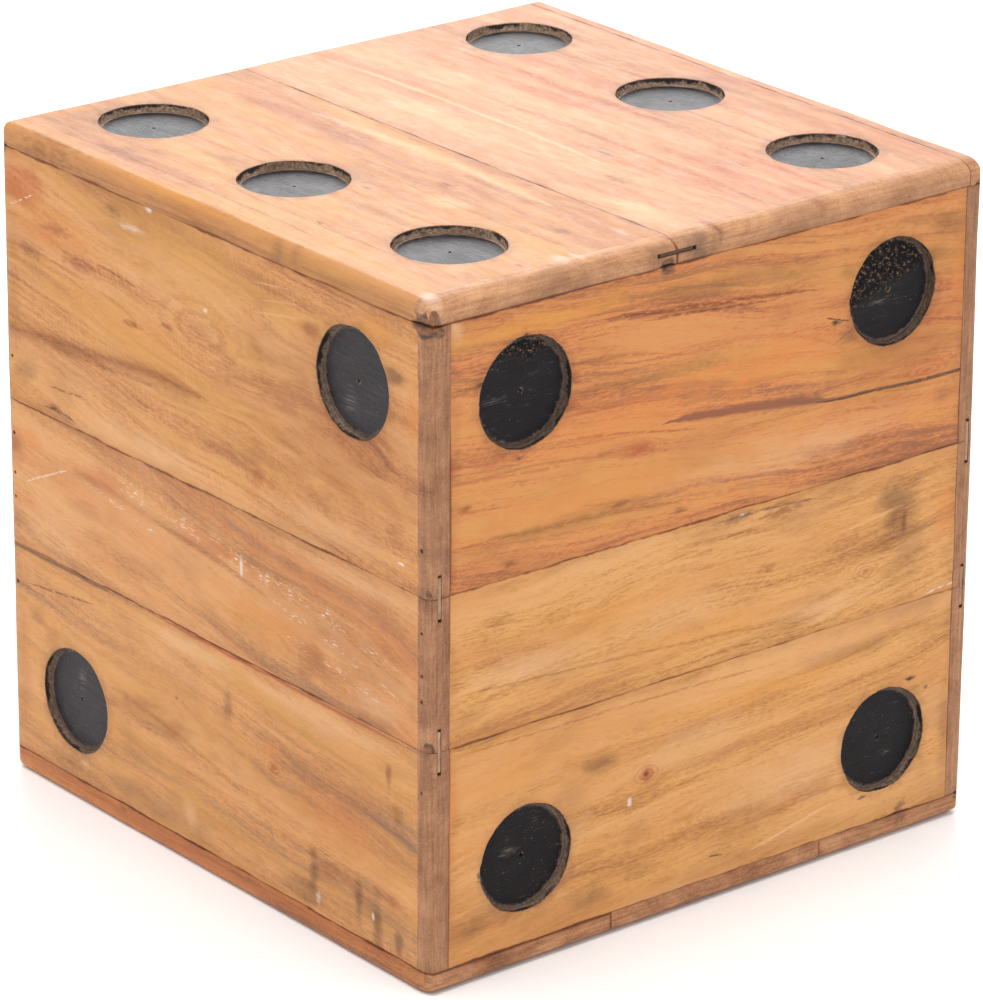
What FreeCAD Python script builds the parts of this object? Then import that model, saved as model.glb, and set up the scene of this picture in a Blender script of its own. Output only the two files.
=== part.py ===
import FreeCAD, Part
import os

# A giant wooden die: a hollow cube of grooved boards with round, painted pips.
# Millimetres. +Z is up, and the origin is the centre of the base.
# The front face (-Y) shows four pips, the left (-X) two, the top six, and
# opposite faces add up to seven.

# ---- Driving dimensions ----
SIDE = 400.0                # outside width and depth
BOARD = 14.0                # thickness of every board
WALL_HEIGHT = 377.0         # walls, between the bottom and the top panel
HEIGHT = WALL_HEIGHT + 2 * BOARD

CORNER_RADIUS = 7.5         # sanded rounding of the upright corners
TOP_RADIUS = 7.0            # rounding round the top face
BASE_RADIUS = 5.0           # rounding round the underside

LOWER_BOARD = 132.0         # height of each wall's lowest board
MIDDLE_BOARD = 90.0         # height of the board above it; the upper board takes the rest
TOP_SEAM = -29.5            # X of the seam between the two wide boards of the top
TOP_STRIP = 11.5            # width of the narrow strip that makes up the top's width
BOTTOM_SEAMS = (-69.0, 87.0)

TONGUE_WIDTH = 24.0         # loose tongue, across the seam
TONGUE_THICKNESS = 2.2
GROOVE_WIDTH = 27.0         # both grooves together, so the tongue has room at each end
GROOVE_THICKNESS = 2.6
STOP = 25.0                 # the bottom's grooves and tongues end this far from its edges

PIP_DIAMETER = 63.5         # a two and a half inch flat-bottomed bit
PIP_DEPTH = 5.0
PIP_COLUMN = 133.5          # from a face's centre to its pip columns
PIP_ROW = 138.0             # from a face's centre to its outer pip rows
POINT_DIAMETER = 2.4        # the bit's centre point leaves this hole
POINT_DEPTH = 2.5           # below the pip's floor
PAINT_DIAMETER = 59.0       # the brush stops short of the pip's wall
PAINT_THICKNESS = 0.4

BRAD_DIAMETER = 1.4
BRAD_LENGTH = 30.0
BRAD_SET = 1.5              # the heads are punched this far below the surface
BRAD_HOLE = 2.2             # diameter of the punched hole over each head
BRAD_HEIGHTS = (50.0, 82.0, 121.0, 175.0, 190.0, 215.0, 263.0, 315.0, 365.0)

DOWEL_DIAMETER = 6.0
DOWEL_LENGTH = 24.0
DOWEL_IN_PANEL = 8.0        # the rest of each dowel is in the wall's edge
DOWEL_PITCH = 120.0         # three dowels along each wall

# Each pip is (column, row, drift to the right, drift upwards), with the drift of
# hand drilling in millimetres, seen from outside the face.
PIPS = {
    "front": ((-1, 1, -1, 0), (1, 1, -2, 0), (-1, -1, 2, 1), (1, -1, 1, 0)),
    "left": ((1, 1, -1, 1), (-1, -1, -2, -1)),
    "right": ((-1, 1, 1, 0), (1, 1, 0, -1), (0, 0, 2, -3), (-1, -1, 0, 1), (1, -1, -1, 0)),
    "back": ((-1, 1, 2, -1), (0, 0, 1, -2), (1, -1, 0, 0)),
    "top": ((-1, 1, 3, 7), (-1, 0, 3, 11), (-1, -1, 2, 8), (1, 1, 4, 4), (1, 0, 4, 2), (1, -1, 3, 6)),
    "bottom": ((0, 0, 1, -2),),
}

# ---- Worked out from them ----
HALF = SIDE / 2
INNER = HALF - BOARD        # from the centre to a wall's inner face
MIDPLANE = HALF - BOARD / 2
WALL_TOP = BOARD + WALL_HEIGHT
WALL_SEAMS = (BOARD + LOWER_BOARD, BOARD + LOWER_BOARD + MIDDLE_BOARD)
STRIP_SEAM = HALF - TOP_STRIP

X = FreeCAD.Vector(1, 0, 0)
Y = FreeCAD.Vector(0, 1, 0)
Z = FreeCAD.Vector(0, 0, 1)


def block(low, high):
    """A rectangular solid between two corners."""
    size = [high[i] - low[i] for i in range(3)]
    return Part.makeBox(*size, FreeCAD.Vector(*low))


def rod(diameter, length, start, direction):
    """A round solid that runs from start along direction."""
    return Part.makeCylinder(diameter / 2, length, start, direction)


def face_frame(face):
    """The placement of a face: local X to the right, Y up and Z outwards, seen from outside."""
    middle = HEIGHT / 2
    frames = {
        "front": (FreeCAD.Vector(0, -HALF, middle), X, Z, -Y),
        "back": (FreeCAD.Vector(0, HALF, middle), -X, Z, Y),
        "left": (FreeCAD.Vector(-HALF, 0, middle), -Y, Z, -X),
        "right": (FreeCAD.Vector(HALF, 0, middle), Y, Z, X),
        "top": (FreeCAD.Vector(0, 0, HEIGHT), X, Y, Z),
        "bottom": (FreeCAD.Vector(0, 0, 0), X, -Y, -Z),
    }
    origin, right, up, outward = frames[face]
    return FreeCAD.Placement(origin, FreeCAD.Rotation(right, up, outward, "ZXY"))


def sanded_envelope():
    """The whole cube's outside, with its corners and edges rounded by sanding."""
    cube = block((-HALF, -HALF, 0), (HALF, HALF, HEIGHT))
    upright = [edge for edge in cube.Edges if abs(edge.tangentAt(edge.FirstParameter).z) > 0.9]
    cube = cube.makeFillet(CORNER_RADIUS, upright)
    for radius, level in ((TOP_RADIUS, HEIGHT), (BASE_RADIUS, 0.0)):
        rim = [edge for edge in cube.Edges if abs(edge.BoundBox.ZMin - level) < 0.01
               and abs(edge.BoundBox.ZMax - level) < 0.01]
        cube = cube.makeFillet(radius, rim)
    return cube


def wall_slab(face, low_z, high_z, thickness):
    """A slab centred in a wall. The side walls run the whole depth, the other two between them."""
    side = -1 if face in ("left", "front") else 1
    across = sorted((side * (MIDPLANE - thickness / 2), side * (MIDPLANE + thickness / 2)))
    if face in ("left", "right"):
        return block((across[0], -HALF, low_z), (across[1], HALF, high_z))
    return block((-INNER, across[0], low_z), (INNER, across[1], high_z))


def panel_slab(low_x, high_x, level, thickness, stop=0.0):
    """A slab of the top or bottom panel, centred on level, that ends stop short of the front and back."""
    reach = HALF - stop
    return block((low_x, -reach, level - thickness / 2), (high_x, reach, level + thickness / 2))


def pip_centres(face):
    """Where the face's pips are, in the face's own frame."""
    return [(column * PIP_COLUMN + right, row * PIP_ROW + up) for column, row, right, up in PIPS[face]]


def pip_cutters(face):
    """The flat-bottomed recesses of a face, each with the bit's centre-point hole."""
    cutters = []
    for right, up in pip_centres(face):
        recess = rod(PIP_DIAMETER, PIP_DEPTH + BOARD, FreeCAD.Vector(right, up, -PIP_DEPTH), Z)
        depth = PIP_DEPTH + POINT_DEPTH
        point = rod(POINT_DIAMETER, depth, FreeCAD.Vector(right, up, -depth), Z)
        cutter = recess.fuse(point)
        cutter.Placement = face_frame(face)
        cutters.append(cutter)
    return cutters


def pip_paints(face):
    """The coat of paint on each recess's floor, open over the centre-point hole."""
    coats = []
    for right, up in pip_centres(face):
        floor = FreeCAD.Vector(right, up, -PIP_DEPTH)
        coat = rod(PAINT_DIAMETER, PAINT_THICKNESS, floor, Z)
        coat = coat.cut(rod(POINT_DIAMETER, PAINT_THICKNESS, floor, Z))
        coat.Placement = face_frame(face)
        coats.append(coat)
    return coats


def brad_axes(side, end):
    """Each brad of one corner: where it meets the side wall's surface, and its direction."""
    inward = FreeCAD.Vector(-side, 0, 0)
    return [(FreeCAD.Vector(side * HALF, end * MIDPLANE, height), inward) for height in BRAD_HEIGHTS]


def brads(side, end):
    """The brads of one corner, driven through the side wall into the other wall's end grain."""
    return [rod(BRAD_DIAMETER, BRAD_LENGTH, point + inward * BRAD_SET, inward)
            for point, inward in brad_axes(side, end)]


def brad_holes(side, end):
    """The holes those brads fill, with the wider punched hole over each head."""
    return [rod(BRAD_HOLE, BRAD_SET, point, inward) for point, inward in brad_axes(side, end)]


def dowels(level, into_panel):
    """Three dowels along each wall, across the joint with the panel at level."""
    start = level + into_panel * DOWEL_IN_PANEL
    direction = Z * -into_panel
    found = []
    for along in (-DOWEL_PITCH, 0.0, DOWEL_PITCH):
        for side in (-1, 1):
            for x, y in ((side * MIDPLANE, along), (along, side * MIDPLANE)):
                found.append(rod(DOWEL_DIAMETER, DOWEL_LENGTH, FreeCAD.Vector(x, y, start), direction))
    return found


def build():
    """Every sub-part of the die, by node name."""
    envelope = sanded_envelope()
    nodes = {}

    corners = [(side, end) for side in (-1, 1) for end in (-1, 1)]
    brad_nodes = {
        (-1, -1): "brads_front_left", (1, -1): "brads_front_right",
        (-1, 1): "brads_back_left", (1, 1): "brads_back_right",
    }
    all_brads = [brad for side, end in corners for brad in brads(side, end)]
    all_holes = [hole for side, end in corners for hole in brad_holes(side, end)]
    top_dowels = dowels(WALL_TOP, 1)
    bottom_dowels = dowels(BOARD, -1)

    # Walls: three boards one above another, with a loose tongue in each seam.
    levels = (BOARD,) + WALL_SEAMS + (WALL_TOP,)
    for face in ("front", "left", "right", "back"):
        grooves = [wall_slab(face, seam - GROOVE_WIDTH / 2, seam + GROOVE_WIDTH / 2, GROOVE_THICKNESS)
                   for seam in WALL_SEAMS]
        cutters = grooves + pip_cutters(face) + all_brads + all_holes + top_dowels + bottom_dowels
        for place, low, high in zip(("lower", "middle", "upper"), levels, levels[1:]):
            board = wall_slab(face, low, high, BOARD).common(envelope)
            nodes[f"{face}_board_{place}"] = board.cut(cutters)
        for place, seam in zip(("lower", "upper"), WALL_SEAMS):
            low, high = seam - TONGUE_WIDTH / 2, seam + TONGUE_WIDTH / 2
            tongue = wall_slab(face, low, high, TONGUE_THICKNESS)
            nodes[f"{face}_tongue_{place}"] = tongue.common(envelope)

    # Top and bottom panels: boards side by side, with their grain from front to back.
    panels = (
        ("top", WALL_TOP + BOARD / 2, (-HALF, TOP_SEAM, STRIP_SEAM, HALF),
         ("top_board_left", "top_board_right", "top_strip"), (TOP_SEAM,), top_dowels, 0.0),
        ("bottom", BOARD / 2, (-HALF,) + BOTTOM_SEAMS + (HALF,),
         ("bottom_board_left", "bottom_board_middle", "bottom_board_right"), BOTTOM_SEAMS,
         bottom_dowels, STOP),
    )
    for face, level, edges, names, tongued, pegs, stop in panels:
        room = GROOVE_WIDTH / 2
        grooves = [panel_slab(seam - room, seam + room, level, GROOVE_THICKNESS, stop) for seam in tongued]
        for name, low, high in zip(names, edges, edges[1:]):
            board = panel_slab(low, high, level, BOARD).common(envelope)
            nodes[name] = board.cut(grooves + pip_cutters(face) + pegs)
        for number, seam in enumerate(tongued, 1):
            low, high = seam - TONGUE_WIDTH / 2, seam + TONGUE_WIDTH / 2
            tongue = panel_slab(low, high, level, TONGUE_THICKNESS, stop)
            nodes[f"{face}_tongue_{number}"] = tongue.common(envelope)

    for face in PIPS:
        for number, coat in enumerate(pip_paints(face), 1):
            nodes[f"{face}_pip_paint_{number}"] = coat

    for corner, name in brad_nodes.items():
        nodes[name] = Part.makeCompound(brads(*corner))
    nodes["top_dowels"] = Part.makeCompound(top_dowels)
    nodes["bottom_dowels"] = Part.makeCompound(bottom_dowels)
    return nodes


def main():
    os.makedirs("parts", exist_ok=True)
    nodes = build()
    for name, shape in nodes.items():
        valid = shape.isValid() and all(solid.Volume > 0 for solid in shape.Solids)
        if not valid or not shape.Solids:
            raise RuntimeError(f"{name} is not a sound solid")
        shape.exportStep(f"parts/{name}.step")
        print(f"{name}: {len(shape.Solids)} solid(s), {shape.Volume / 1000:.2f} cm3")
    litres = sum(shape.Volume for shape in nodes.values()) / 1e6
    print(f"{len(nodes)} nodes, {litres:.2f} litres of material")


main()
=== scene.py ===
import itertools
import math
from dataclasses import dataclass

import bpy
import numpy as np
from mathutils import Matrix, Vector, noise


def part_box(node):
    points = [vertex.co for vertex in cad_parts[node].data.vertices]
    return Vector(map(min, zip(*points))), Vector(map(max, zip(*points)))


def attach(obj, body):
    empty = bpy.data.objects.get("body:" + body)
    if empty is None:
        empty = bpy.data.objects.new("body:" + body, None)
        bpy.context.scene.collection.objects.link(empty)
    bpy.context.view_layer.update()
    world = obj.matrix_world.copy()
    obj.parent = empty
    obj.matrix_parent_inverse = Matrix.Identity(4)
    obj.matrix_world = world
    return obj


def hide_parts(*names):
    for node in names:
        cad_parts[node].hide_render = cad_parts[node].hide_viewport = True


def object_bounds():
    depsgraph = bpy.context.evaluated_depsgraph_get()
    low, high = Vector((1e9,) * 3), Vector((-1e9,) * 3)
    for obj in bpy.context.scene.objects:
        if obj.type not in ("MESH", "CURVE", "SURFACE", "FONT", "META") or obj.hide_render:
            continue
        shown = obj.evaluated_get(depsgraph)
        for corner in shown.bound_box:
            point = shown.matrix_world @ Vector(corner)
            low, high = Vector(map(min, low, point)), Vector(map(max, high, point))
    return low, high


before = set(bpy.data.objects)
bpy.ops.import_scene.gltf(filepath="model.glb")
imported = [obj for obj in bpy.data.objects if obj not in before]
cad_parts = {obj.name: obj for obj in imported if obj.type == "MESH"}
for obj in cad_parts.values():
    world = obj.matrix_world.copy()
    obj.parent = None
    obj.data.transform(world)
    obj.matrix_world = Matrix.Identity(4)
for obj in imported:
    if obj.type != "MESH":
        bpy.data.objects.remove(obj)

# The look of a giant wooden die. Metres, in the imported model's frame: +Z is up,
# -Y is the front face with four pips, -X the left face with two, the top has six.
# Every board is built again as a closed mesh with worn edges, grooves and drilled
# pips, in its own grain frame: along the grain, across it, and out of the face.

CAD_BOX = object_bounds()
HALF = CAD_BOX[1].x
HEIGHT = CAD_BOX[1].z
MM = 0.001

# ---- Sizes ----
PIP_RADIUS = 31.75 * MM
PIP_DEPTH = 5.0 * MM
BRAD_HOLE = 1.1 * MM            # radius of a punched brad hole
GROOVE_ROOM = 1.5 * MM          # each groove is this much deeper than its tongue
GROOVE_EASE = 0.05 * MM         # and this much wider on each side
EDGE_MARKS = (0, 0.5, 1.1, 1.8, 2.6, 3.5, 4.6, 5.8, 7.2, 8.7, 10.4, 12.5)
THICKNESS_MARKS = (0, 0.5, 1.1, 1.8, 2.6, 3.5, 4.6, 5.7, 7.0, 8.3, 9.6, 11.0, 12.4, 13.4, 14.0)
PLAIN_STEP = 5.0 * MM           # grid spacing away from edges and pips
PIP_SQUARE = 38.0 * MM          # half the side of the square of grid round a pip
PIP_STEPS = 48                  # grid steps along that square's side
BRAD_SQUARE = 3.1 * MM
BRAD_STEPS = 4
SURFACE_HOLLOW = 0.06 * MM      # how far a board's face dips on average, planed and worn
SHARP_ANGLE = math.radians(38)  # edges of a mesh that turn more than this are shaded sharp
TINY = 1e-9                     # grid lines this close are the same
TOUCH = 1e-6                    # points this close to a groove are in it


class Face:
    """One face of the cube, with the directions of its boards' grain."""

    def __init__(self, grain, across, outward, plane):
        self.axes = np.array((grain, across, outward), float)
        self.plane = np.array((0, 0, plane))

    def local(self, points):
        return np.asarray(points, float) @ self.axes.T - self.plane

    def world(self, points):
        return (np.asarray(points, float) + self.plane) @ self.axes

    def box(self, node):
        corners = self.local([tuple(corner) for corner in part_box(node)])
        return corners.min(0), corners.max(0)


FACES = {
    "front": Face((1, 0, 0), (0, 0, 1), (0, -1, 0), HALF),
    "back": Face((-1, 0, 0), (0, 0, 1), (0, 1, 0), HALF),
    "left": Face((0, -1, 0), (0, 0, 1), (-1, 0, 0), HALF),
    "right": Face((0, 1, 0), (0, 0, 1), (1, 0, 0), HALF),
    "top": Face((0, 1, 0), (-1, 0, 0), (0, 0, 1), HEIGHT),
    "bottom": Face((0, 1, 0), (1, 0, 0), (0, 0, -1), 0),
}


# ---- Meshes ----

LATTICE = np.random.default_rng(7).uniform(-1, 1, 4096)


def wander(points, size, seed):
    """Smooth noise from -1 to 1 at each point, with lumps of about that size."""
    places = np.asarray(points, float) / size + np.array((7.31, 3.17, 5.53)) * (seed + 1)
    cell = np.floor(places).astype(int)
    part = places - cell
    part = part * part * (3 - 2 * part)
    total = np.zeros(len(places))
    for corner in itertools.product((0, 1), repeat=3):
        weight = np.prod(np.where(corner, part, 1 - part), axis=1)
        key = (cell + corner) @ np.array((73, 179, 283)) % len(LATTICE)
        total += weight * LATTICE[key]
    return total * 1.3


def smooth(low, high, value):
    t = np.clip((value - low) / (high - low), 0, 1)
    return t * t * (3 - 2 * t)


def divide(low, high, count):
    return [low + (high - low) * i / count for i in range(count + 1)]


def grid_lines(low, high, stretches=()):
    """Grid lines from low to high: close at both ends, even across each stretch."""
    marks = {low + d * MM for d in EDGE_MARKS} | {high - d * MM for d in EDGE_MARKS}
    marks = {m for m in marks if low <= m <= high}
    for start, end, count in stretches:
        marks = {m for m in marks if not start - 0.3 * MM < m < end + 0.3 * MM}
        marks |= set(divide(start, end, count))
    marks = sorted(marks)
    lines = []
    for a, b in zip(marks, marks[1:]):
        lines += divide(a, b, max(1, round((b - a) / PLAIN_STEP)))[:-1]
    return lines + [marks[-1]]


def stretches_round(centres, half, count, low, high):
    """Even stretches of grid round holes, along and across; holes nearly in line share one."""
    margin = 0.5 * MM
    both = []
    for axis in (0, 1):
        groups = []
        for c in sorted(centre[axis] for centre in centres):
            if not groups or c - groups[-1][-1] >= half:
                groups.append([])
            groups[-1].append(c)
        bottom, top = low[axis] + margin, high[axis] - margin
        both.append([(max(g[0] - half, bottom), min(g[-1] + half, top), count) for g in groups])
    return both


def square_at(centre, stretches_g, stretches_s):
    """The square of grid round a hole, or None where a pip's square took its place."""
    square = []
    for mark, stretches in zip(centre, (stretches_g, stretches_s)):
        square += next((stretch[:2] for stretch in stretches if stretch[0] < mark < stretch[1]), ())
    return square if len(square) == 4 else None


class Net:
    """A closed mesh put together from patches that share their border points."""

    def __init__(self):
        self.points = []
        self.faces = []
        self.known = {}

    def point(self, g, s, n):
        key = (round(g * 1e6), round(s * 1e6), round(n * 1e6))
        if key not in self.known:
            self.known[key] = len(self.points)
            self.points.append((g, s, n))
        return self.known[key]

    def face(self, corners, flip=False):
        self.faces.append(tuple(reversed(corners)) if flip else tuple(corners))

    def patch(self, lines_a, lines_b, place, flip=False, skip=None):
        """A grid of quads. It faces along a x b, or the other way if flipped."""
        ids = [[self.point(*place(a, b)) for b in lines_b] for a in lines_a]
        for i in range(len(lines_a) - 1):
            for j in range(len(lines_b) - 1):
                centre = ((lines_a[i] + lines_a[i + 1]) / 2, (lines_b[j] + lines_b[j + 1]) / 2)
                if skip and skip(*centre):
                    continue
                self.face((ids[i][j], ids[i + 1][j], ids[i + 1][j + 1], ids[i][j + 1]), flip)

    def sides(self, along, across, thick, skip=lambda g, s, n: False):
        """The four narrow sides of a board, without the quads in its grooves."""
        for g, flip in ((along[-1], False), (along[0], True)):
            self.patch(across, thick, lambda s, n: (g, s, n), flip, lambda s, n: skip(g, s, n))
        for s, flip in ((across[-1], False), (across[0], True)):
            self.patch(thick, along, lambda n, g: (g, s, n), flip, lambda n, g: skip(g, s, n))

    def loop(self, ring):
        return [self.point(*p) for p in ring]

    def bridge(self, outer, inner):
        """Joins two loops, both anticlockwise seen from outside. The inner may have half the points."""
        count = len(inner)
        step = len(outer) // count
        for i in range(count):
            k = (i + 1) % count
            a, b = outer[i * step], outer[(i + 1) * step % len(outer)]
            if step == 1:
                self.face((a, b, inner[k], inner[i]))
            else:
                m = outer[i * step + 1]
                self.face((a, m, inner[i]))
                self.face((m, inner[k], inner[i]))
                self.face((m, b, inner[k]))

    def skin(self, loops):
        """Joins loops that lie one inside another, and fills the last one."""
        for outer, inner in zip(loops, loops[1:]):
            self.bridge(outer, inner)
        self.face(loops[-1])

    def mesh(self, name, points, attributes):
        mesh = bpy.data.meshes.new(name)
        mesh.from_pydata([tuple(p) for p in points], [], self.faces)
        for key, values in attributes.items():
            layer = mesh.attributes.new(key, "FLOAT", "POINT")
            layer.data.foreach_set("value", np.asarray(values, np.float32))
        mesh.shade_smooth()
        mesh.set_sharp_from_angle(angle=SHARP_ANGLE)
        mesh.update()
        return mesh


def outline(along, across):
    """The grid points round a rectangle, anticlockwise from its low corner."""
    points = [(g, across[0]) for g in along[:-1]]
    points += [(along[-1], s) for s in across[:-1]]
    points += [(g, across[-1]) for g in along[:0:-1]]
    points += [(along[0], s) for s in across[:0:-1]]
    return points


def square_loop(square, count):
    g0, g1, s0, s1 = square
    return outline(divide(g0, g1, count), divide(s0, s1, count))


def ring_angle(i, count):
    """The angle of a ring's point, so that the first is level with a square's low corner."""
    return 2 * math.pi * i / count - 0.75 * math.pi


def circle_loop(centre, radii, depth):
    """Points round a circle, with the same start and direction as a square's."""
    count = len(radii)
    ring = []
    for i, r in enumerate(radii):
        angle = ring_angle(i, count)
        ring.append((centre[0] + r * math.cos(angle), centre[1] + r * math.sin(angle), -depth))
    return ring


def add_piece(node, mesh, material):
    """Puts a mesh in the scene in place of a node."""
    mesh.materials.append(material)
    piece = bpy.data.objects.new(mesh.name, mesh)
    bpy.context.scene.collection.objects.link(piece)
    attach(piece, "root")
    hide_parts(node)


def hash_name(name):
    """A small fixed number from a name, for seeds."""
    return sum((i + 3) * ord(c) for i, c in enumerate(name)) % 97


# ---- Pips ----
# Distance outside the pip's radius, depth, and how much of the rim's raggedness
# reaches there, all in millimetres.
PIP_PROFILE = (
    (2.6, 0.0, 0.0), (1.4, 0.0, 0.35), (0.6, 0.03, 0.9), (0.2, 0.14, 1.0), (0.0, 0.5, 1.0),
    (-0.05, 1.5, 0.8), (-0.1, 2.8, 0.5), (-0.15, 4.0, 0.3), (-0.35, 4.75, 0.1),
    (-0.9, 5.0, 0.0), (-2.0, 5.0, 0.0),
)
# Torn stretches of a rim: the middle angle seen from outside (0 is right, 90 is up),
# the angle it spans, and how far the wood has torn away in millimetres.
TORN_RIMS = {
    "front_pip_paint_1": ((80, 90, 0.9), (-20, 24, 0.5), (200, 30, 0.6)),
    "front_pip_paint_2": ((100, 60, 0.5), (185, 26, 1.5), (-65, 40, 0.7)),
    "front_pip_paint_3": ((185, 34, 1.1), (95, 30, 0.6), (10, 30, 0.4)),
    "front_pip_paint_4": ((235, 50, 0.8), (60, 26, 0.5)),
    "left_pip_paint_1": ((240, 60, 0.5), (120, 20, 0.4)),
    "left_pip_paint_2": ((160, 50, 0.6), (300, 30, 0.4)),
    "top_pip_paint_3": ((5, 26, 1.2), (230, 50, 0.5)),
    "top_pip_paint_1": ((250, 50, 0.9),),
}


def face_angle(face_name, angle):
    """An angle seen from outside with the face upright, turned into its grain frame."""
    turn = {"top": -90, "bottom": 90}.get(face_name, 0)
    return math.radians(angle + turn)


def rim_tear(node, count):
    """How far each point round a pip's rim stands out from the true circle, in metres."""
    seed = hash_name(node)
    tear = []
    for i in range(count):
        angle = ring_angle(i, count)
        spot = Vector((math.cos(angle), math.sin(angle), 0))
        fine = noise.noise(spot * 14 + Vector((seed, 0, 0))) * 0.24
        coarse = noise.noise(spot * 3 + Vector((0, seed, 0))) * 0.6
        wide = 0.0
        for middle, span, amount in TORN_RIMS.get(node, ((70 * seed, 50, 0.6),)):
            turn = face_angle(node.split("_")[0], middle) - angle
            turn = math.degrees(abs(math.atan2(math.sin(turn), math.cos(turn))))
            grain = 0.75 + 0.5 * noise.noise(spot * 26 + Vector((0, 0, seed)))
            wide += amount * grain * float(1 - smooth(span * 0.25, span * 0.55, turn))
        tear.append((fine + coarse + wide) * MM)
    return tear


def drill_pip(net, node, rect, centre):
    """A flat-bottomed recess with a ragged rim and the bit's centre hole in its floor."""
    square = square_loop(rect, PIP_STEPS)
    count = len(square)
    tear = rim_tear(node, count)
    rings = []
    for out, depth, share in PIP_PROFILE:
        radii = [PIP_RADIUS + out * MM + share * t for t in tear]
        rings.append(circle_loop(centre, radii, depth * MM))
    loops = [net.loop((g, s, 0.0) for g, s in square)]
    for part in (0.4, 0.75):
        blend = [
            (a[0] + (b[0] - a[0]) * part, a[1] + (b[1] - a[1]) * part, 0.0)
            for a, b in zip(square, rings[0])
        ]
        loops.append(net.loop(blend))
    loops += [net.loop(ring) for ring in rings]
    floor = ((24, 96, 0), (13, 48, 0), (5.5, 24, 0), (1.25, 24, 0), (1.1, 24, 0.5), (0.45, 12, 2.2))
    for radius, points, depth in floor:
        loops.append(net.loop(circle_loop(centre, [radius * MM] * points, PIP_DEPTH + depth * MM)))
    net.skin(loops)


def punch_brad(net, rect, centre, radius):
    """A small punched hole over a brad's head."""
    square = square_loop(rect, BRAD_STEPS)
    loops = [net.loop((g, s, 0.0) for g, s in square)]
    for out, depth in ((0.45, 0.0), (0.1, 0.08), (0.0, 0.35), (-0.06, 1.0), (-0.1, 1.65)):
        loops.append(net.loop(circle_loop(centre, [radius + out * MM] * len(square), depth * MM)))
    net.skin(loops)


# ---- Worn edges ----
# How far the rounding of the cube's edges reaches along each axis, in millimetres.
REACH_LEFT, REACH_RIGHT = 4.5, 5.5
REACH_FRONT, REACH_FRONT_TOP, REACH_BACK = 12.0, 13.5, 7.0
REACH_TOP, REACH_BASE = 6.5, 5.0

# Bitten edges: place, size of the area, and how far the edge has gone, in millimetres.
BITES = (
    ((-196, -194, 391), 12, 4.0),
    ((-36, -200, 391), 7, 3.2),
    ((-26, -200, 398), 3, 0.8),
    ((150, -200, 14), 12, 1.2),
    ((-200, -200, 239), 4, 1.8),
    ((-200, -198, 148), 5, 2.2),
    ((-200, -176, 236), 4, 1.0),
    ((196, -200, 391), 5, 1.6),
    ((197, -199, 14), 6, 1.8),
    ((200, -60, 391), 10, 1.4),
    ((40, 200, 391), 12, 1.6),
    ((200, 120, 14), 12, 1.5),
    ((-200, 90, 14), 10, 0.9),
    ((-198, 196, 391), 6, 1.4),
)


def ease(points, low, high, reach):
    """Moves points outside a box with rounded edges onto it. reach has a column for each axis."""
    inner_low, inner_high = low + reach, high - reach
    near = np.clip(points, inner_low, inner_high)
    out = (points - near) / reach
    length = np.linalg.norm(out, axis=1)
    scale = np.where(length > 1, 1 / np.maximum(length, 1e-9), 1.0)
    return near + out * reach * scale[:, None]


def wear_board(face, points, low, high, seed):
    """Eases a board's own arrises unevenly, with bites out of a few, and says where it's torn."""
    world = face.world(points)
    amount = 0.30 + 0.34 * wander(world, 26 * MM, seed) + 0.2 * wander(world, 4 * MM, seed + 1)
    torn = np.zeros(len(points))
    for place, size, depth in BITES:
        gap = np.linalg.norm(world - np.array(place) * MM, axis=1) / (size * MM)
        share = 1 - smooth(0.35, 1.0, gap + 0.25 * wander(world, 5 * MM, seed + 2))
        amount += depth * share
        torn = np.maximum(torn, share * min(depth / 2.5, 1))
    reach = np.clip(amount, 0.06, 6.0)[:, None] * MM * np.ones(3)
    return ease(points, low, high, reach), torn


def wear_cube(points, seed):
    """Rounds the whole cube's edges, wider in some places than in others."""
    x, y, z = points.T
    uneven = 1 + 0.16 * wander(points, 45 * MM, seed)
    front = REACH_FRONT + (REACH_FRONT_TOP - REACH_FRONT) * smooth(370 * MM, 400 * MM, z)
    reach = np.stack((
        np.where(x < 0, REACH_LEFT, REACH_RIGHT) * uneven,
        np.where(y < 0, front, REACH_BACK) * uneven,
        np.where(z > HALF, REACH_TOP, REACH_BASE) * uneven,
    ), axis=1) * MM
    low = np.array((-HALF, -HALF, 0.0))
    high = np.array((HALF, HALF, HEIGHT))
    return ease(points, low, high, reach)


# ---- Boards ----

def islands(node):
    """The centres of a node's separate solids."""
    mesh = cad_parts[node].data
    places = np.array([v.co for v in mesh.vertices])
    centres = []
    for p in places:
        for group in centres:
            if abs(group[0][2] - p[2]) < 4 * MM:
                group.append(p)
                break
        else:
            centres.append([p])
    return [np.mean(group, axis=0) for group in centres]


def pips_on(face_name, low, high):
    """The pips whose centres are on a board: node, centre along and across the grain."""
    face = FACES[face_name]
    found = []
    for node in sorted(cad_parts):
        if node.startswith(face_name + "_pip_paint"):
            a, b = face.box(node)
            g, s = (a[0] + b[0]) / 2, (a[1] + b[1]) / 2
            if low[1] < s < high[1]:
                found.append((node, (g, s)))
    return found


def brads_on(face_name, low, high):
    """Brad holes on a board, for the two walls whose faces the brads were driven through."""
    if face_name not in ("left", "right"):
        return []
    face = FACES[face_name]
    found = []
    for node in ("brads_front_" + face_name, "brads_back_" + face_name):
        for place in islands(node):
            g, s, _ = face.local([place])[0]
            if low[1] + 4 * MM < s < high[1] - 4 * MM:
                found.append((g, s))
    return found


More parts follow.
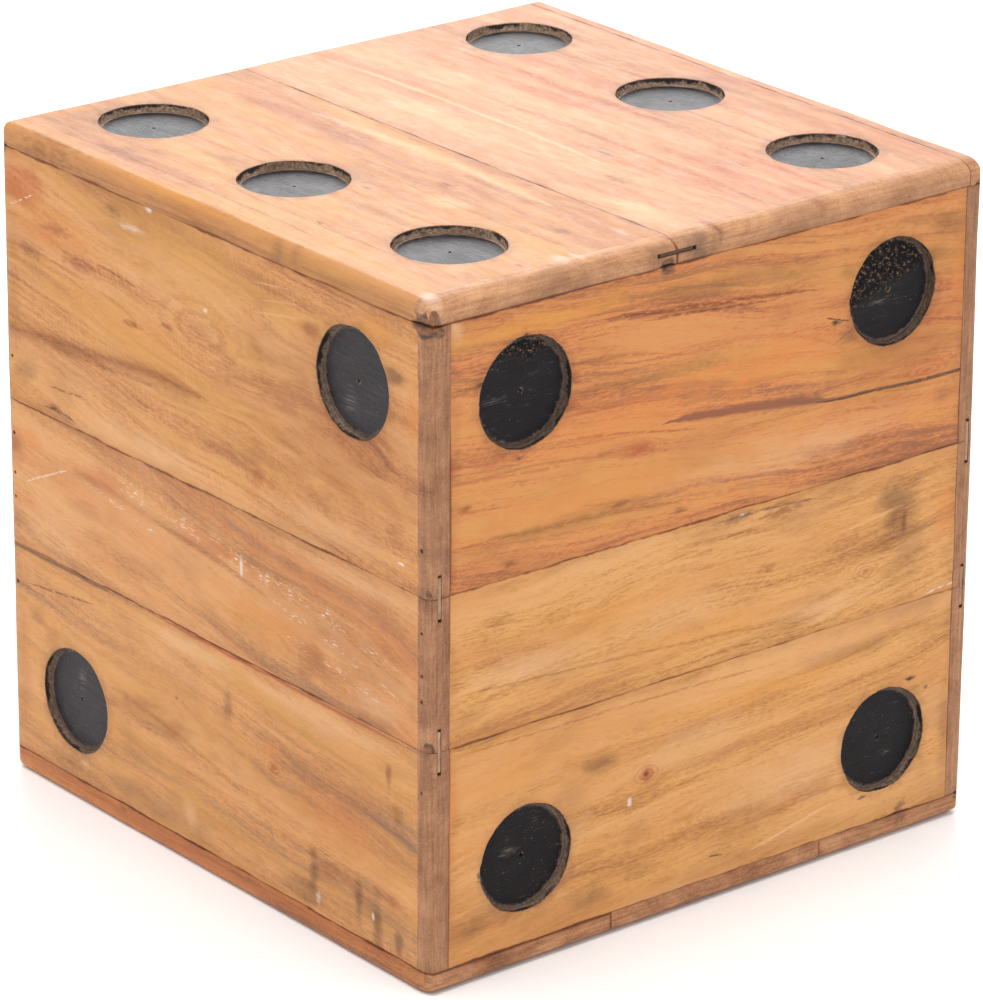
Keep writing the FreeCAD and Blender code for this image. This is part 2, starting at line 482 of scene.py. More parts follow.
def grooves_of(face_name, low, high):
    """Grooves in a board's long sides: at the high side or not, low n, high n, depth, start, end."""
    face = FACES[face_name]
    found = []
    for node in sorted(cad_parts):
        if node.startswith(face_name + "_tongue"):
            a, b = face.box(node)
            start, end = a[0], b[0]
            if start < low[0] + MM:
                start, end = low[0], high[0]
            depth = (b[1] - a[1]) / 2 + GROOVE_ROOM
            for at_high, side in ((False, low[1]), (True, high[1])):
                if abs(side - (a[1] + b[1]) / 2) < 2 * MM:
                    found.append((at_high, a[2] - GROOVE_EASE, b[2] + GROOVE_EASE, depth, start, end))
    return found


def snap(lines, mark):
    """Moves the nearest grid line onto a mark."""
    nearest = min(range(len(lines)), key=lambda i: abs(lines[i] - mark))
    lines[nearest] = mark


def seam_distance(face, points, low, high):
    """How far each point is from the nearest side of the board that another board covers."""
    nearest = np.full(len(points), 20 * MM)
    for axis in range(3):
        for side in (low, high):
            middle = (low + high) / 2
            middle[axis] = side[axis]
            x, y, z = face.world([middle])[0]
            if max(abs(x / HALF), abs(y / HALF), abs(z * 2 / HEIGHT - 1)) < 0.999:
                nearest = np.minimum(nearest, np.abs(points[:, axis] - side[axis]))
    return nearest


def in_groove(groove, low, high, g, s, n, touch=0.0):
    at_high, n0, n1, depth, start, end = groove
    inside = s > high[1] - depth - touch if at_high else s < low[1] + depth + touch
    inside = inside and n0 - touch < n < n1 + touch
    return inside and start - touch <= g <= end + touch


def line_groove(net, groove, lines, low, high):
    """The walls and the floor of a groove."""
    at_high, n0, n1, depth, start, end = groove
    along, across, thick = lines
    back = high[1] - depth if at_high else low[1] + depth
    inside = [s for s in across if (s >= back - TINY if at_high else s <= back + TINY)]
    gap = [n for n in thick if n0 - TINY <= n <= n1 + TINY]
    run = [g for g in along if start - TINY <= g <= end + TINY]
    net.patch(run, inside, lambda g, s: (g, s, n1), flip=True)
    net.patch(run, inside, lambda g, s: (g, s, n0))
    net.patch(gap, run, lambda n, g: (g, back, n), flip=not at_high)
    if start > low[0]:
        net.patch(inside, gap, lambda s, n: (start, s, n))
        net.patch(inside, gap, lambda s, n: (end, s, n), flip=True)


def board_lines(low, high, stretches_g, stretches_s, grooves):
    """Grid lines along, across and through a board, with some moved onto its grooves."""
    along = grid_lines(low[0], high[0], stretches_g)
    across = grid_lines(low[1], high[1], stretches_s)
    thick = [-d * MM for d in THICKNESS_MARKS]
    for at_high, n0, n1, depth, start, end in grooves:
        snap(across, high[1] - depth if at_high else low[1] + depth)
        for lines, mark in ((thick, n0), (thick, n1), (along, start), (along, end)):
            snap(lines, mark)
    thick[-1] = low[2]
    return along, across, sorted(thick)


def build_board(face_name, node, material):
    face = FACES[face_name]
    low, high = face.box(node)
    seed = hash_name(node)
    pips = pips_on(face_name, low, high)
    brads = brads_on(face_name, low, high)
    grooves = grooves_of(face_name, low, high)
    centres = [centre for _, centre in pips]
    pips_g, pips_s = stretches_round(centres, PIP_SQUARE, PIP_STEPS, low, high)
    brads_g, brads_s = stretches_round(brads, BRAD_SQUARE, BRAD_STEPS, low, high)
    brads_s = [b for b in brads_s if not any(b[0] < p[1] and b[1] > p[0] for p in pips_s)]
    lines = board_lines(low, high, pips_g + brads_g, pips_s + brads_s, grooves)
    along, across, thick = lines
    net = Net()

    wells = []
    for pip, centre in pips:
        wells.append(square_at(centre, pips_g, pips_s))
        drill_pip(net, pip, wells[-1], centre)
    for centre in brads:
        square = square_at(centre, brads_g, brads_s)
        if square:
            wells.append(square)
            radius = BRAD_HOLE * (1 + 0.45 * noise.noise(Vector((centre[1] * 90, centre[0] * 9, 0.3))))
            punch_brad(net, square, centre, radius)

    def drilled(g, s):
        return any(w[0] < g < w[1] and w[2] < s < w[3] for w in wells)

    def grooved(g, s, n, touch=0.0):
        return any(in_groove(groove, low, high, g, s, n, touch) for groove in grooves)

    net.patch(along, across, lambda g, s: (g, s, 0.0), skip=drilled)
    net.sides(along, across, thick, grooved)
    for groove in grooves:
        line_groove(net, groove, lines, low, high)
    net.face(net.loop((g, s, low[2]) for g, s in outline(along, across)), flip=True)

    rest = np.array(net.points)
    points, torn = wear_board(face, rest, low, high, seed)
    hollow = SURFACE_HOLLOW * (1 + wander(points, 38 * MM, seed + 4))
    points[:, 2] -= (points[:, 2] > -0.2 * MM) * hollow
    world = wear_cube(face.world(points), 5)
    moved = np.linalg.norm(world - face.world(rest), axis=1)
    rim_distance = np.full(len(rest), 20.0)
    for centre in centres:
        away = np.hypot(rest[:, 0] - centre[0], rest[:, 1] - centre[1]) - PIP_RADIUS
        rim_distance = np.minimum(rim_distance, np.clip(away / MM, -6, 20))
    border = seam_distance(face, rest, low, high)
    attributes = {
        "wear": moved / MM, "rim": rim_distance, "depth": -rest[:, 2] / MM,
        "edge": np.clip(border / MM, 0, 20), "torn": torn,
        "groove": [float(grooved(g, s, n, TOUCH)) for g, s, n in rest],
    }
    add_piece(node, net.mesh(node + "_timber", world, attributes), material)


# ---- Paint on the pips' floors ----

def paint_coat(face_name, node, material):
    """A thin, unevenly brushed coat on a pip's floor that dips into the centre hole."""
    face = FACES[face_name]
    low, high = face.box(node)
    centre = ((low[0] + high[0]) / 2, (low[1] + high[1]) / 2)
    radius = (high[0] - low[0]) / 2
    seed = hash_name(node)
    count = 144
    edge = []
    for i in range(count):
        angle = 2 * math.pi * i / count
        spot = Vector((math.cos(angle), math.sin(angle), seed))
        lumps = noise.noise(spot * 2.5) * 0.7 + noise.noise(spot * 9) * 0.5 + noise.noise(spot * 25) * 0.3
        edge.append(radius + 0.5 * MM + lumps * MM)
    fractions = [1.0, 0.995, 0.985, 0.97] + [0.95 - 0.05 * i for i in range(18)] + [0.055]
    net = Net()
    top = []
    for f in fractions:
        depth = low[2] if f == 1.0 else high[2]
        top.append(net.loop(circle_loop(centre, [e * f for e in edge], -depth)))
    for r, drop, points in ((1.25, 0.0, 72), (1.0, 0.35, 36), (0.4, 2.0, 12)):
        top.append(net.loop(circle_loop(centre, [r * MM] * points, -high[2] + drop * MM)))
    bottom = [top[0]]
    for r, drop, points in ((1.6, 0.0, 72), (1.24, 0.02, 36), (0.6, 2.25, 12)):
        bottom.append(net.loop(circle_loop(centre, [r * MM] * points, -low[2] + drop * MM)))
    net.skin(top)
    first = len(net.faces)
    net.skin(bottom)
    net.faces[first:] = [tuple(reversed(f)) for f in net.faces[first:]]
    points = np.array(net.points)
    upper = points[:, 2] > low[2] + 0.05 * MM
    spread = np.hypot(points[:, 0] - centre[0], points[:, 1] - centre[1])
    brush = wander(points * np.array((1, 5, 1)), 9 * MM, seed)
    lumps = wander(points, 2.6 * MM, seed + 1)
    rise = (0.07 * brush + 0.05 * lumps) * smooth(1.4 * MM, 3.0 * MM, spread)
    rough = rough_share(node, points, centre)
    rise += rough * 0.38 * (0.4 + wander(points * np.array((2.2, 1, 1)), 3 * MM, seed + 3))
    points[:, 2] += upper * rise * MM
    mesh = net.mesh(node + "_coat", face.world(points), {"rough": rough, "out": spread / radius})
    add_piece(node, mesh, material)


# Rough, torn patches of a pip's floor: the direction they lie in, seen from outside, how far
# from the centre they start as a share of the radius, and how strong they are.
ROUGH_FLOORS = {
    "front_pip_paint_1": ((88, 0.60, 1.0),),
    "front_pip_paint_2": ((112, 0.04, 1.0),),
    "top_pip_paint_3": ((60, 0.6, 0.3),),
}


def rough_share(node, points, centre):
    share = np.zeros(len(points))
    for direction, start, strength in ROUGH_FLOORS.get(node, ()):
        angle = face_angle(node.split("_")[0], direction)
        way = (points[:, 0] - centre[0]) * math.cos(angle) + (points[:, 1] - centre[1]) * math.sin(angle)
        way = way / PIP_RADIUS + 0.12 * wander(points, 7 * MM, 3)
        share = np.maximum(share, strength * smooth(start - 0.12, start + 0.25, way))
    return share


def build_tongue(face_name, node, material):
    """A thin loose tongue, a little short of the board ends and eased along its edges."""
    face = FACES[face_name]
    low, high = face.box(node)
    seed = hash_name(node)
    short = {"top": 0.5 * MM, "bottom": 0.0}.get(face_name, 0.1 * MM)
    low = low + np.array((short, 0, 0))
    high = high - np.array((short, 0, 0))
    along = grid_lines(low[0], high[0])
    across = divide(low[1], high[1], 10)
    thick = divide(low[2], high[2], 3)
    net = Net()
    net.patch(along, across, lambda g, s: (g, s, high[2]))
    net.patch(along, across, lambda g, s: (g, s, low[2]), flip=True)
    net.sides(along, across, thick)
    points = np.array(net.points)
    reach = (0.3 + 0.15 * wander(points, 5 * MM, seed))[:, None] * MM * np.ones(3)
    points = ease(points, low, high, reach)
    points[:, 0] += 0.15 * MM * wander(points, 4 * MM, seed + 1) * np.sign(points[:, 0])
    add_piece(node, net.mesh(node + "_strip", face.world(points), {}), material)


# ---- Camera ----
# The lens sees the die from its front left corner, a little above.
AIM = Vector((-0.0017, -0.0067, 0.1866))
AZIMUTH = math.radians(-38.918)
ELEVATION = math.radians(21.518)
ROLL = math.radians(0.366)
DISTANCE = 3.3899
SENSOR = 36.0
FOCAL = 209.57


def add_camera():
    data = bpy.data.cameras.new("camera")
    data.sensor_width = SENSOR
    data.lens = FOCAL
    data.clip_end = 60
    camera = bpy.data.objects.new("camera", data)
    bpy.context.scene.collection.objects.link(camera)
    level = math.cos(ELEVATION)
    back = Vector((math.sin(AZIMUTH) * level, -math.cos(AZIMUTH) * level, math.sin(ELEVATION)))
    turn = back.to_track_quat("Z", "Y").to_matrix() @ Matrix.Rotation(ROLL, 3, "Z")
    camera.matrix_world = Matrix.Translation(AIM + back * DISTANCE) @ turn.to_4x4()
    bpy.context.scene.camera = camera


# Name, place, the height it points at above the middle of the base, diameter, and power.
LAMPS = (
    ("overhead", (-0.5, -0.3, 3.2), 0.2, 2.4, 66),
    ("behind", (2.0, 2.5, 1.75), 0.4, 1.8, 42),
    ("front", (1.2, -3.0, 1.1), 0.2, 1.6, 6),
)
FLOOR_SIZE = 30.0               # half the side of the floor
WHITE_FLOOR = (0.95, 0.95, 0.95)
SKY_STRENGTH = 0.87


def plain_material(name, colour):
    material = bpy.data.materials.new(name)
    material.use_nodes = True
    shader = material.node_tree.nodes["Principled BSDF"]
    shader.inputs["Base Color"].default_value = (*colour, 1)
    shader.inputs["Roughness"].default_value = 0.6
    return material


def add_light(name, place, target_height, size, power):
    data = bpy.data.lights.new(name, "AREA")
    data.shape = "DISK"
    data.size = size
    data.energy = power
    lamp = bpy.data.objects.new(name, data)
    bpy.context.scene.collection.objects.link(lamp)
    away = Vector(place) - Vector((0, 0, target_height))
    turn = away.to_track_quat("Z", "Y").to_matrix().to_4x4()
    lamp.matrix_world = Matrix.Translation(Vector(place)) @ turn


def add_stage():
    floor = bpy.data.meshes.new("floor")
    corners = [(x * FLOOR_SIZE, y * FLOOR_SIZE, 0) for x, y in ((-1, -1), (1, -1), (1, 1), (-1, 1))]
    floor.from_pydata(corners, [], [(0, 1, 2, 3)])
    piece = bpy.data.objects.new("floor", floor)
    bpy.context.scene.collection.objects.link(piece)
    floor.materials.append(plain_material("floor", WHITE_FLOOR))
    world = bpy.data.worlds.new("studio")
    world.use_nodes = True
    sky = world.node_tree.nodes["Background"]
    sky.inputs["Color"].default_value = (1, 1, 1, 1)
    sky.inputs["Strength"].default_value = SKY_STRENGTH
    bpy.context.scene.world = world
    bpy.context.scene.view_settings.view_transform = "Standard"
    for lamp in LAMPS:
        add_light(*lamp)


# ---- Shader graphs ----

class Value:
    """A node's output that can be written into sums."""

    def __init__(self, graph, socket):
        self.graph = graph
        self.socket = socket

    def __add__(self, other):
        return self.graph.math("ADD", self, other)

    def __sub__(self, other):
        return self.graph.math("SUBTRACT", self, other)

    def __mul__(self, other):
        return self.graph.math("MULTIPLY", self, other)

    def __truediv__(self, other):
        return self.graph.math("DIVIDE", self, other)

    __radd__ = __add__
    __rmul__ = __mul__

    def __rsub__(self, other):
        return self.graph.math("SUBTRACT", other, self)


class Graph:
    """Short names for the shader nodes that the materials are made of."""

    def __init__(self, name):
        self.material = bpy.data.materials.new(name)
        self.material.use_nodes = True
        self.tree = self.material.node_tree
        self.shader = self.tree.nodes["Principled BSDF"]

    def put(self, socket, value):
        if isinstance(value, Value):
            self.tree.links.new(value.socket, socket)
        elif isinstance(value, tuple) and len(value) == 3 and socket.type == "RGBA":
            socket.default_value = (*value, 1)
        else:
            socket.default_value = value

    def node(self, kind, inputs, output=0, **settings):
        node = self.tree.nodes.new(kind)
        for key, value in settings.items():
            setattr(node, key, value)
        for key, value in inputs.items():
            self.put(node.inputs[key], value)
        return Value(self, node.outputs[output])

    def math(self, operation, a, b=0.0, clamp=False):
        return self.node("ShaderNodeMath", {0: a, 1: b}, operation=operation, use_clamp=clamp)

    def most(self, a, b):
        return self.math("MAXIMUM", a, b)

    def absolute(self, a):
        return self.math("ABSOLUTE", a)

    def dot(self, vector, axis):
        return self.node("ShaderNodeVectorMath", {0: vector, 1: axis}, "Value", operation="DOT_PRODUCT")

    def combine(self, x, y, z):
        return self.node("ShaderNodeCombineXYZ", {0: x, 1: y, 2: z})

    def noise(self, vector, detail=2.0, roughness=0.5):
        """Noise about 0.5 wide, centred on 0.5, with lumps of one unit of the vector."""
        inputs = {"Vector": vector, "Scale": 1.0, "Detail": detail, "Roughness": roughness}
        return self.node("ShaderNodeTexNoise", inputs, "Fac")

    def ease(self, value, low, high, start=0.0, end=1.0):
        inputs = {"Value": value, "From Min": low, "From Max": high, "To Min": start, "To Max": end}
        return self.node("ShaderNodeMapRange", inputs, interpolation_type="SMOOTHSTEP")

    def mix(self, factor, a, b, blend="MIX"):
        node = self.tree.nodes.new("ShaderNodeMix")
        node.data_type = "RGBA"
        node.blend_type = blend
        self.put(node.inputs["Factor"], factor)
        self.put(node.inputs[6], a)
        self.put(node.inputs[7], b)
        return Value(self, node.outputs[2])

    def tint(self, factor, colour, tone):
        """Darkens a colour by multiplying it."""
        return self.mix(factor, colour, tone, "MULTIPLY")

    def ramp(self, value, stops, lift=1.0):
        """Colours along a value; lift brightens them all."""
        node = self.tree.nodes.new("ShaderNodeValToRGB")
        self.put(node.inputs[0], value)
        band = node.color_ramp
        band.interpolation = "B_SPLINE"
        while len(band.elements) < len(stops):
            band.elements.new(0.5)
        for element, (place, colour) in zip(band.elements, stops):
            element.position = place
            element.color = (*(c * lift for c in colour), 1)
        return Value(self, node.outputs[0])

    def attribute(self, name):
        return self.node("ShaderNodeAttribute", {}, "Fac", attribute_name=name)


# ---- Wood ----
# Linear colours.
GOLD = (0.60, 0.262, 0.082)
ORANGE = (0.60, 0.205, 0.062)
HONEY = (0.60, 0.285, 0.070)
PALE = (0.68, 0.35, 0.145)
PEACH = (0.505, 0.232, 0.102)
CREAM = (0.600, 0.314, 0.154)
STRAW = (0.455, 0.185, 0.066)
WHEAT = (0.535, 0.262, 0.108)
PINK = (0.50, 0.180, 0.082)
SIENNA = (0.37, 0.140, 0.058)
RUSSET = (0.33, 0.120, 0.048)
UMBER = (0.18, 0.085, 0.045)
INK = (0.035, 0.024, 0.022)
DRAB = (0.26, 0.145, 0.085)
CHALK = (0.76, 0.66, 0.58)
TAN = (0.34, 0.19, 0.112)
BUFF = (0.44, 0.26, 0.155)
SOOT = (0.012, 0.010, 0.011)
# Colours that darken the wood by multiplying it.
CLOUDY = (0.60, 0.53, 0.53)
SEAM_DIRT = (0.40, 0.24, 0.17)
GRIME = (0.62, 0.52, 0.50)
EDGE_DIRT = (0.55, 0.40, 0.30)
GROOVE_DIRT_AND_SHADE = (0.35, 0.24, 0.18)
RIM_STAIN = (0.52, 0.48, 0.48)
# Colours on and under the pips' paint.
RUBBED = (0.16, 0.125, 0.105)
SCUFFED = (0.20, 0.17, 0.15)
SPECKLED = (0.36, 0.31, 0.27)
PITTED = (0.003, 0.003, 0.003)
HOLE_LIP = (0.22, 0.14, 0.085)
THINNED = (0.19, 0.13, 0.10)
BARED = ((0.42, UMBER), (0.56, (0.26, 0.135, 0.065)), (0.68, (0.42, 0.29, 0.20)))
# Ramps of the bare wood in the pips' walls, and of their paint.
BARE = ((0.34, (0.075, 0.048, 0.028)), (0.50, (0.185, 0.122, 0.082)), (0.64, (0.30, 0.20, 0.155)))
PAINT = ((0.3, (0.007, 0.005, 0.0065)), (0.5, (0.013, 0.010, 0.012)), (0.75, (0.030, 0.025, 0.028)))

# How far the end-grain colour reaches round onto each face, in millimetres: at the low
# end of the grain, and at the high end.
END_BANDS = {"left": (3.5, 12.0), "right": (11.0, 4.0), "top": (12.5, 6.0), "bottom": (5.0, 5.0)}


class Wood(Graph):
    """One board's timber. Its sums are in millimetres, in the board's grain frame."""

    def __init__(self, name, face_name, seed, slope=0.0, knots=()):
        super().__init__(name)
        face = FACES[face_name]
        place = self.node("ShaderNodeTexCoord", {}, "Object")
        normal = self.node("ShaderNodeNewGeometry", {}, "Normal")
        grain, across, outward = (tuple(axis) for axis in face.axes)
        scale = 1 / MM
        self.seed = seed * 17.3
        self.g = self.dot(place, tuple(c * scale for c in grain))
        self.s = self.dot(place, tuple(c * scale for c in across))
        self.n = self.dot(place, tuple(c * scale for c in outward)) - face.plane[2] * scale
        self.coarse = self.field(24, 10, 41, 3) - 0.5
        self.fine = self.field(6, 2.4, 42, 3) - 0.5
        self.sway = self.field(34, 400, 43, 2) - 0.5
        self.gaps = self.field(5.5, 1.3, 44, 2)
        self.flecks = self.field(5.0, 1.1, 45, 3)
        self.end = self.ease(self.absolute(self.dot(normal, grain)), 0.30, 0.70)
        for reach, way in zip(END_BANDS.get(face_name, (0, 0)), (-1, 1)):
            if reach:
                start = HALF * scale - reach + 1.2 * way
                ragged = self.g * way + self.fine * 2.2 + self.coarse * 1.6
                self.end = self.most(self.end, self.ease(ragged, start, start + 1.3))
        self.wavy = (self.s + self.g * slope + 34 * (self.field(210, 70, 3) - 0.5)
                     + 7 * (self.field(60, 22, 4) - 0.5))
        for g, s, half_g, half_s in knots:
            near = self.ease(self.away(g, s, half_g * 1.9, half_s * 1.9), 0.0, 1.0, 0.75, 0.0)
            self.wavy = self.wavy - (self.s - s) * near

    def field(self, along, across, shift=0.0, detail=2.0, roughness=0.5, wavy=False):
        """Noise stretched along the grain: its lumps' size along and across it."""
        s = self.wavy if wavy else self.s
        vector = self.combine(
            self.g * (1 / along) + (self.seed + shift), s * (1 / across), self.n * (1 / across))
        return self.noise(vector, detail, roughness)

    def away(self, g, s, half_g, half_s):
        """Distance from a place, 1 on an ellipse about it."""
        u = (self.g - g) * (1 / half_g)
        v = (self.s - s) * (1 / half_s)
        return self.math("SQRT", u * u + v * v)

    def blot(self, g, s, half_g, half_s, ragged=2.0):
        """A soft, ragged patch about a place, 1 in its middle."""
        lumps = self.coarse if half_s > 5 else self.fine
        soft = 1.35 if half_s > 5 else 1.15
        return self.ease(self.away(g, s, half_g, half_s) + lumps * ragged, 0.05, soft, 1.0, 0.0)

    def knot(self, g, s, half_g, half_s, rings=3.5):
        """Rings round a place, strongest in its middle."""
        away = self.away(g, s, half_g, half_s) + self.fine * 0.35
        arcs = self.ease(self.math("SINE", away * (2 * math.pi * rings)), -0.1, 0.9)
        core = self.ease(away, 0.05, 0.3, 1.0, 0.0)
        return self.most(core, arcs * self.ease(away, 0.2, 1.15, 0.8, 0.0))

    def trail(self, points, width, broken=0.0):
        """A line along the grain through places, thinner at its ends; broken lets gaps into it."""
        start, end = points[0][0], points[-1][0]
        low = min(s for _, s in points) - 1.0
        span = max(s for _, s in points) + 1.0 - low
        run = (self.g - start) * (1 / (end - start))
        curve = self.tree.nodes.new("ShaderNodeFloatCurve")
        self.put(curve.inputs["Value"], run)
        line = curve.mapping.curves[0]
        while len(line.points) < len(points):
            line.points.new(0.5, 0.5)
        for i, (g, s) in enumerate(points):
            line.points[i].location = ((g - start) / (end - start), (s - low) / span)
        curve.mapping.update()
        path = Value(self, curve.outputs[0]) * span + low
        stray = self.sway * min(3.0, 1.0 + width) + self.fine * (0.6 * width + 0.3)
        off = self.absolute(self.s - path + stray)
        body = self.ease(run, 0.0, 0.22) * self.ease(run, 0.78, 1.0, 1.0, 0.0)
        core = 0.3 if width < 1.3 else 0.0
        mask = self.ease(off / (body * width + 0.001), core, 1.0, 1.0, 0.0) * self.ease(body, 0.0, 0.1)
        if broken > 0.9:
            mask = mask * self.ease(self.flecks, 0.545, 0.63) * self.ease(self.coarse, -0.09, 0.05)
        elif broken:
            middle = 0.36 + 0.22 * broken
            mask = mask * self.ease(self.gaps, middle - 0.09, middle + 0.09)
        return mask

    def finish(self, colour, roughness, height, gloss=0.26, relief=0.0006):
        inputs = self.shader.inputs
        self.put(inputs["Base Color"], colour)
        self.put(inputs["Roughness"], roughness)
        inputs["Specular IOR Level"].default_value = gloss
        bump = self.node("ShaderNodeBump", {"Distance": relief, "Height": height})
        self.put(inputs["Normal"], bump)
        return self.material


@dataclass
class Timber:
    """How one board's timber looks."""

    dark: tuple
    mid: tuple
    light: tuple
    accent: tuple
    pith: tuple             # where the rings' centre lies: across the grain, and out of the face
    ring: float = 5.0       # spacing of the rings
    tilt: float = 0.05      # how fast the rings' centre drops along the board
    rings: float = 0.5      # strengths of the rings, the finest grain and so on
    grain: float = 1.2
    streak: float = 1.0
    bands: float = 1.0
    ripple: float = 0.5
    end: tuple = (DRAB, TAN, BUFF)
    hue: float = 0.6        # how strongly the accent colour shows
    slope: float = 0.0      # how fast the grain drifts across the board
    bare: float = 1.0       # brightness of the bare wood in the pips' walls


def blend(a, b, part):
    return tuple(x + (y - x) * part for x, y in zip(a, b))


def wood_body(wood, look):
    """Long-grain and end-grain colour, and the height of the fine relief."""
    pith_s, pith_n = look.pith
    rise = wood.wavy - pith_s
    sink = wood.n - pith_n + wood.g * look.tilt
    away = wood.math("SQRT", rise * rise + sink * sink)
    ring = wood.math("SINE", away * (2 * math.pi / look.ring) + 3.0 * wood.field(160, 30, 9))
    ring_strength = wood.ease(wood.field(150, 35, 11), 0.38, 0.68)
    bands = wood.field(420, 30, 1, 2, 0.55, True) - 0.5
    streaks = wood.field(170, 6.5, 2, 4, 0.6, True) - 0.5
    threads = wood.field(34, 1.9, 5, 3, 0.65, True) - 0.5
    fibres = wood.field(5, 1.3, 6, 3, 0.7) - 0.5
    ticks = wood.ease(wood.field(6, 0.9, 7, 1), 0.64, 0.78)
    slant = wood.combine((wood.g + wood.s * 0.3) * (1 / 1.7) + wood.seed, wood.s * (1 / 14), 0.0)
    chatter = (wood.noise(slant, 2) - 0.5) * wood.ease(wood.field(60, 30, 13, 3), 0.40, 0.66)
    tone = (0.5 + bands * (1.45 * look.bands) + streaks * (0.85 * look.streak)
            + threads * (0.6 * look.grain) + fibres * (0.7 * look.grain)
            + ring * ring_strength * (0.085 * look.rings) + chatter * (0.6 * look.ripple) - ticks * 0.05)
    between = blend(look.mid, look.light, 0.55)
    stops = ((0.10, look.dark), (0.42, look.mid), (0.62, between), (0.92, look.light))
    long = wood.ramp(tone, stops)
    hue = wood.ease(wood.field(240, 24, 14, 3, 0.55, True), 0.42, 0.66)
    long = wood.mix(hue * look.hue, long, look.accent)
    cloud = wood.ease(wood.field(75, 30, 15, 4, 0.6, True), 0.46, 0.72)
    long = wood.tint(cloud * 0.46, long, CLOUDY)
    bloom = wood.ease(wood.field(90, 30, 19, 3, 0.6, True), 0.52, 0.72)
    long = wood.mix(bloom * 0.32, long, look.light)
    pores = wood.field(0.9, 0.9, 16, 2)
    rays = wood.field(2.5, 1.1, 17, 3) - 0.5
    spot = wood.combine(wood.g * (1 / 3) + wood.seed, wood.s * (1 / 32), wood.n * (1 / 1.5))
    layers = wood.noise(spot, 4, 0.65) - 0.5
    patches = wood.field(30, 16, 18, 3) - 0.5
    end_tone = (0.5 + ring * 0.03 + (pores - 0.5) * 0.45 + rays * 0.45
                + patches * 0.7 + layers * 1.1)
    end = wood.ramp(end_tone, ((0.15, look.end[0]), (0.5, look.end[1]), (0.85, look.end[2])))
    colour = wood.mix(wood.end, long, end)
    height = threads * 0.30 + fibres * 0.45 - ticks * 0.25
    return colour, height


def wood_wear(wood, colour, height, look):
    """Dirt in the seams, polish and dirt on the worn edges, and the drilled pips' walls."""
    names = ("edge", "rim", "depth", "wear", "groove", "torn")
    edge, rim, depth, wear, groove, torn = (wood.attribute(name) for name in names)
    patchy = wood.field(34, 300, 21, 4, 0.6)
    seam = wood.ease(edge + (patchy - 0.5) * 4.0, 0.0, 1.2, 1.0, 0.0)
    seam = seam * (0.2 + 0.8 * wood.ease(patchy, 0.40, 0.58, 1.0, 0.0))
    colour = wood.tint(seam, colour, SEAM_DIRT)
    grime = wood.ease(edge + (wood.field(30, 30, 22, 3) - 0.5) * 18, 0.0, 9.0, 1.0, 0.0)
    colour = wood.tint(grime * 0.30, colour, GRIME)
    rubbed = wood.ease(wear + (wood.field(14, 7, 23, 3) - 0.5) * 2.2, 0.25, 1.8)
    rubbed = rubbed * wood.ease(depth, 13.0, 12.0)
    colour = wood.mix(rubbed * 0.35 * (1 - wood.end), colour, blend(look.light, look.accent, 0.4))
    handled = wood.ease(depth + wood.coarse * 9, 4.5, 11.0) * wood.ease(rim, 2.0, 4.0) * (1 - wood.end)
    dirt = wood.ease(wood.field(60, 2.2, 26, 4, 0.65), 0.44, 0.60)
    colour = wood.tint(handled * (0.03 + 0.45 * dirt), colour, EDGE_DIRT)
    split = wood.ease(torn + wood.fine * 0.8, 0.25, 0.6)
    raw = wood.ramp(wood.fine + 0.5, ((0.35, INK), (0.52, UMBER), (0.7, RUSSET)))
    colour = wood.mix(split * 0.9, colour, raw)
    # Darker inside the grooves and round the tongues: dirt, and painted shade in the slots.
    colour = wood.tint(wood.ease(groove, 0.72, 1.0) * 0.8, colour, GROOVE_DIRT_AND_SHADE)
    # Pips: a scorched rim, a wall that is dark above and bare below, and a bare ring round the floor.
    lumps = wood.field(13, 13, 24, 3)
    fine = wood.field(1.8, 1.8, 25, 3)
    inside = wood.ease(depth, 0.25, 0.6) * wood.ease(rim, 3.0, 1.6, 0.0, 1.0)
    bare = wood.ramp(fine * 0.6 + lumps * 0.4, BARE, look.bare)
    scorch = wood.ease(depth + (fine - 0.5) * 2.0 - (lumps - 0.5) * 15, 0.7, 2.9, 1.0, 0.0)
    foot = wood.ease(depth + (fine - 0.5) * 0.8, 4.3, 4.8)
    foot = foot * wood.ease(rim + (fine - 0.5) * 1.5, -1.0, -0.3)
    wall = wood.mix(wood.most(scorch * 0.95, foot * 0.5), bare, SOOT)
    colour = wood.mix(inside, colour, wall)
    halo = wood.ease(rim + (fine - 0.5) * 1.6 + (lumps - 0.5) * 2.6, -0.1, 0.8, 1.0, 0.0)
    flat = 1 - inside
    colour = wood.mix(halo * flat * 0.85, colour, INK)
    stain = wood.ease(rim + (lumps - 0.5) * 16, 0.0, 7.0, 1.0, 0.0)
    colour = wood.tint(stain * flat * 0.42, colour, RIM_STAIN)
    height = height * wood.ease(edge, 0.2, 1.0, 0.4, 1.0) + inside * (fine - 0.5) * 1.2
    return colour, height, inside


# ---- Marks ----
# Stains that darken the wood by multiplying it, stains that cover it, and how far each
# of these sinks into it, in the relief's units.
# "shade" is painted shade: it darkens wide parts of some faces, and also tints a greyish smear on the left
# face's top board.
TINTS = {
    "smoke": (0.42, 0.40, 0.44), "brown": (0.50, 0.37, 0.30), "plum": (0.58, 0.42, 0.44),
    "red": (0.80, 0.50, 0.40), "shade": (0.72, 0.60, 0.54),
}
COATS = {
    "rust": (0.42, 0.10, 0.030), "heart": (0.28, 0.092, 0.042), "umber": UMBER, "ink": INK,
    "crack": (0.085, 0.042, 0.026), "orange": (0.66, 0.22, 0.050), "amber": (0.64, 0.27, 0.050),
    "pale": (0.72, 0.42, 0.22), "chalk": CHALK,
}
SINKS = {"crack": 2.0}

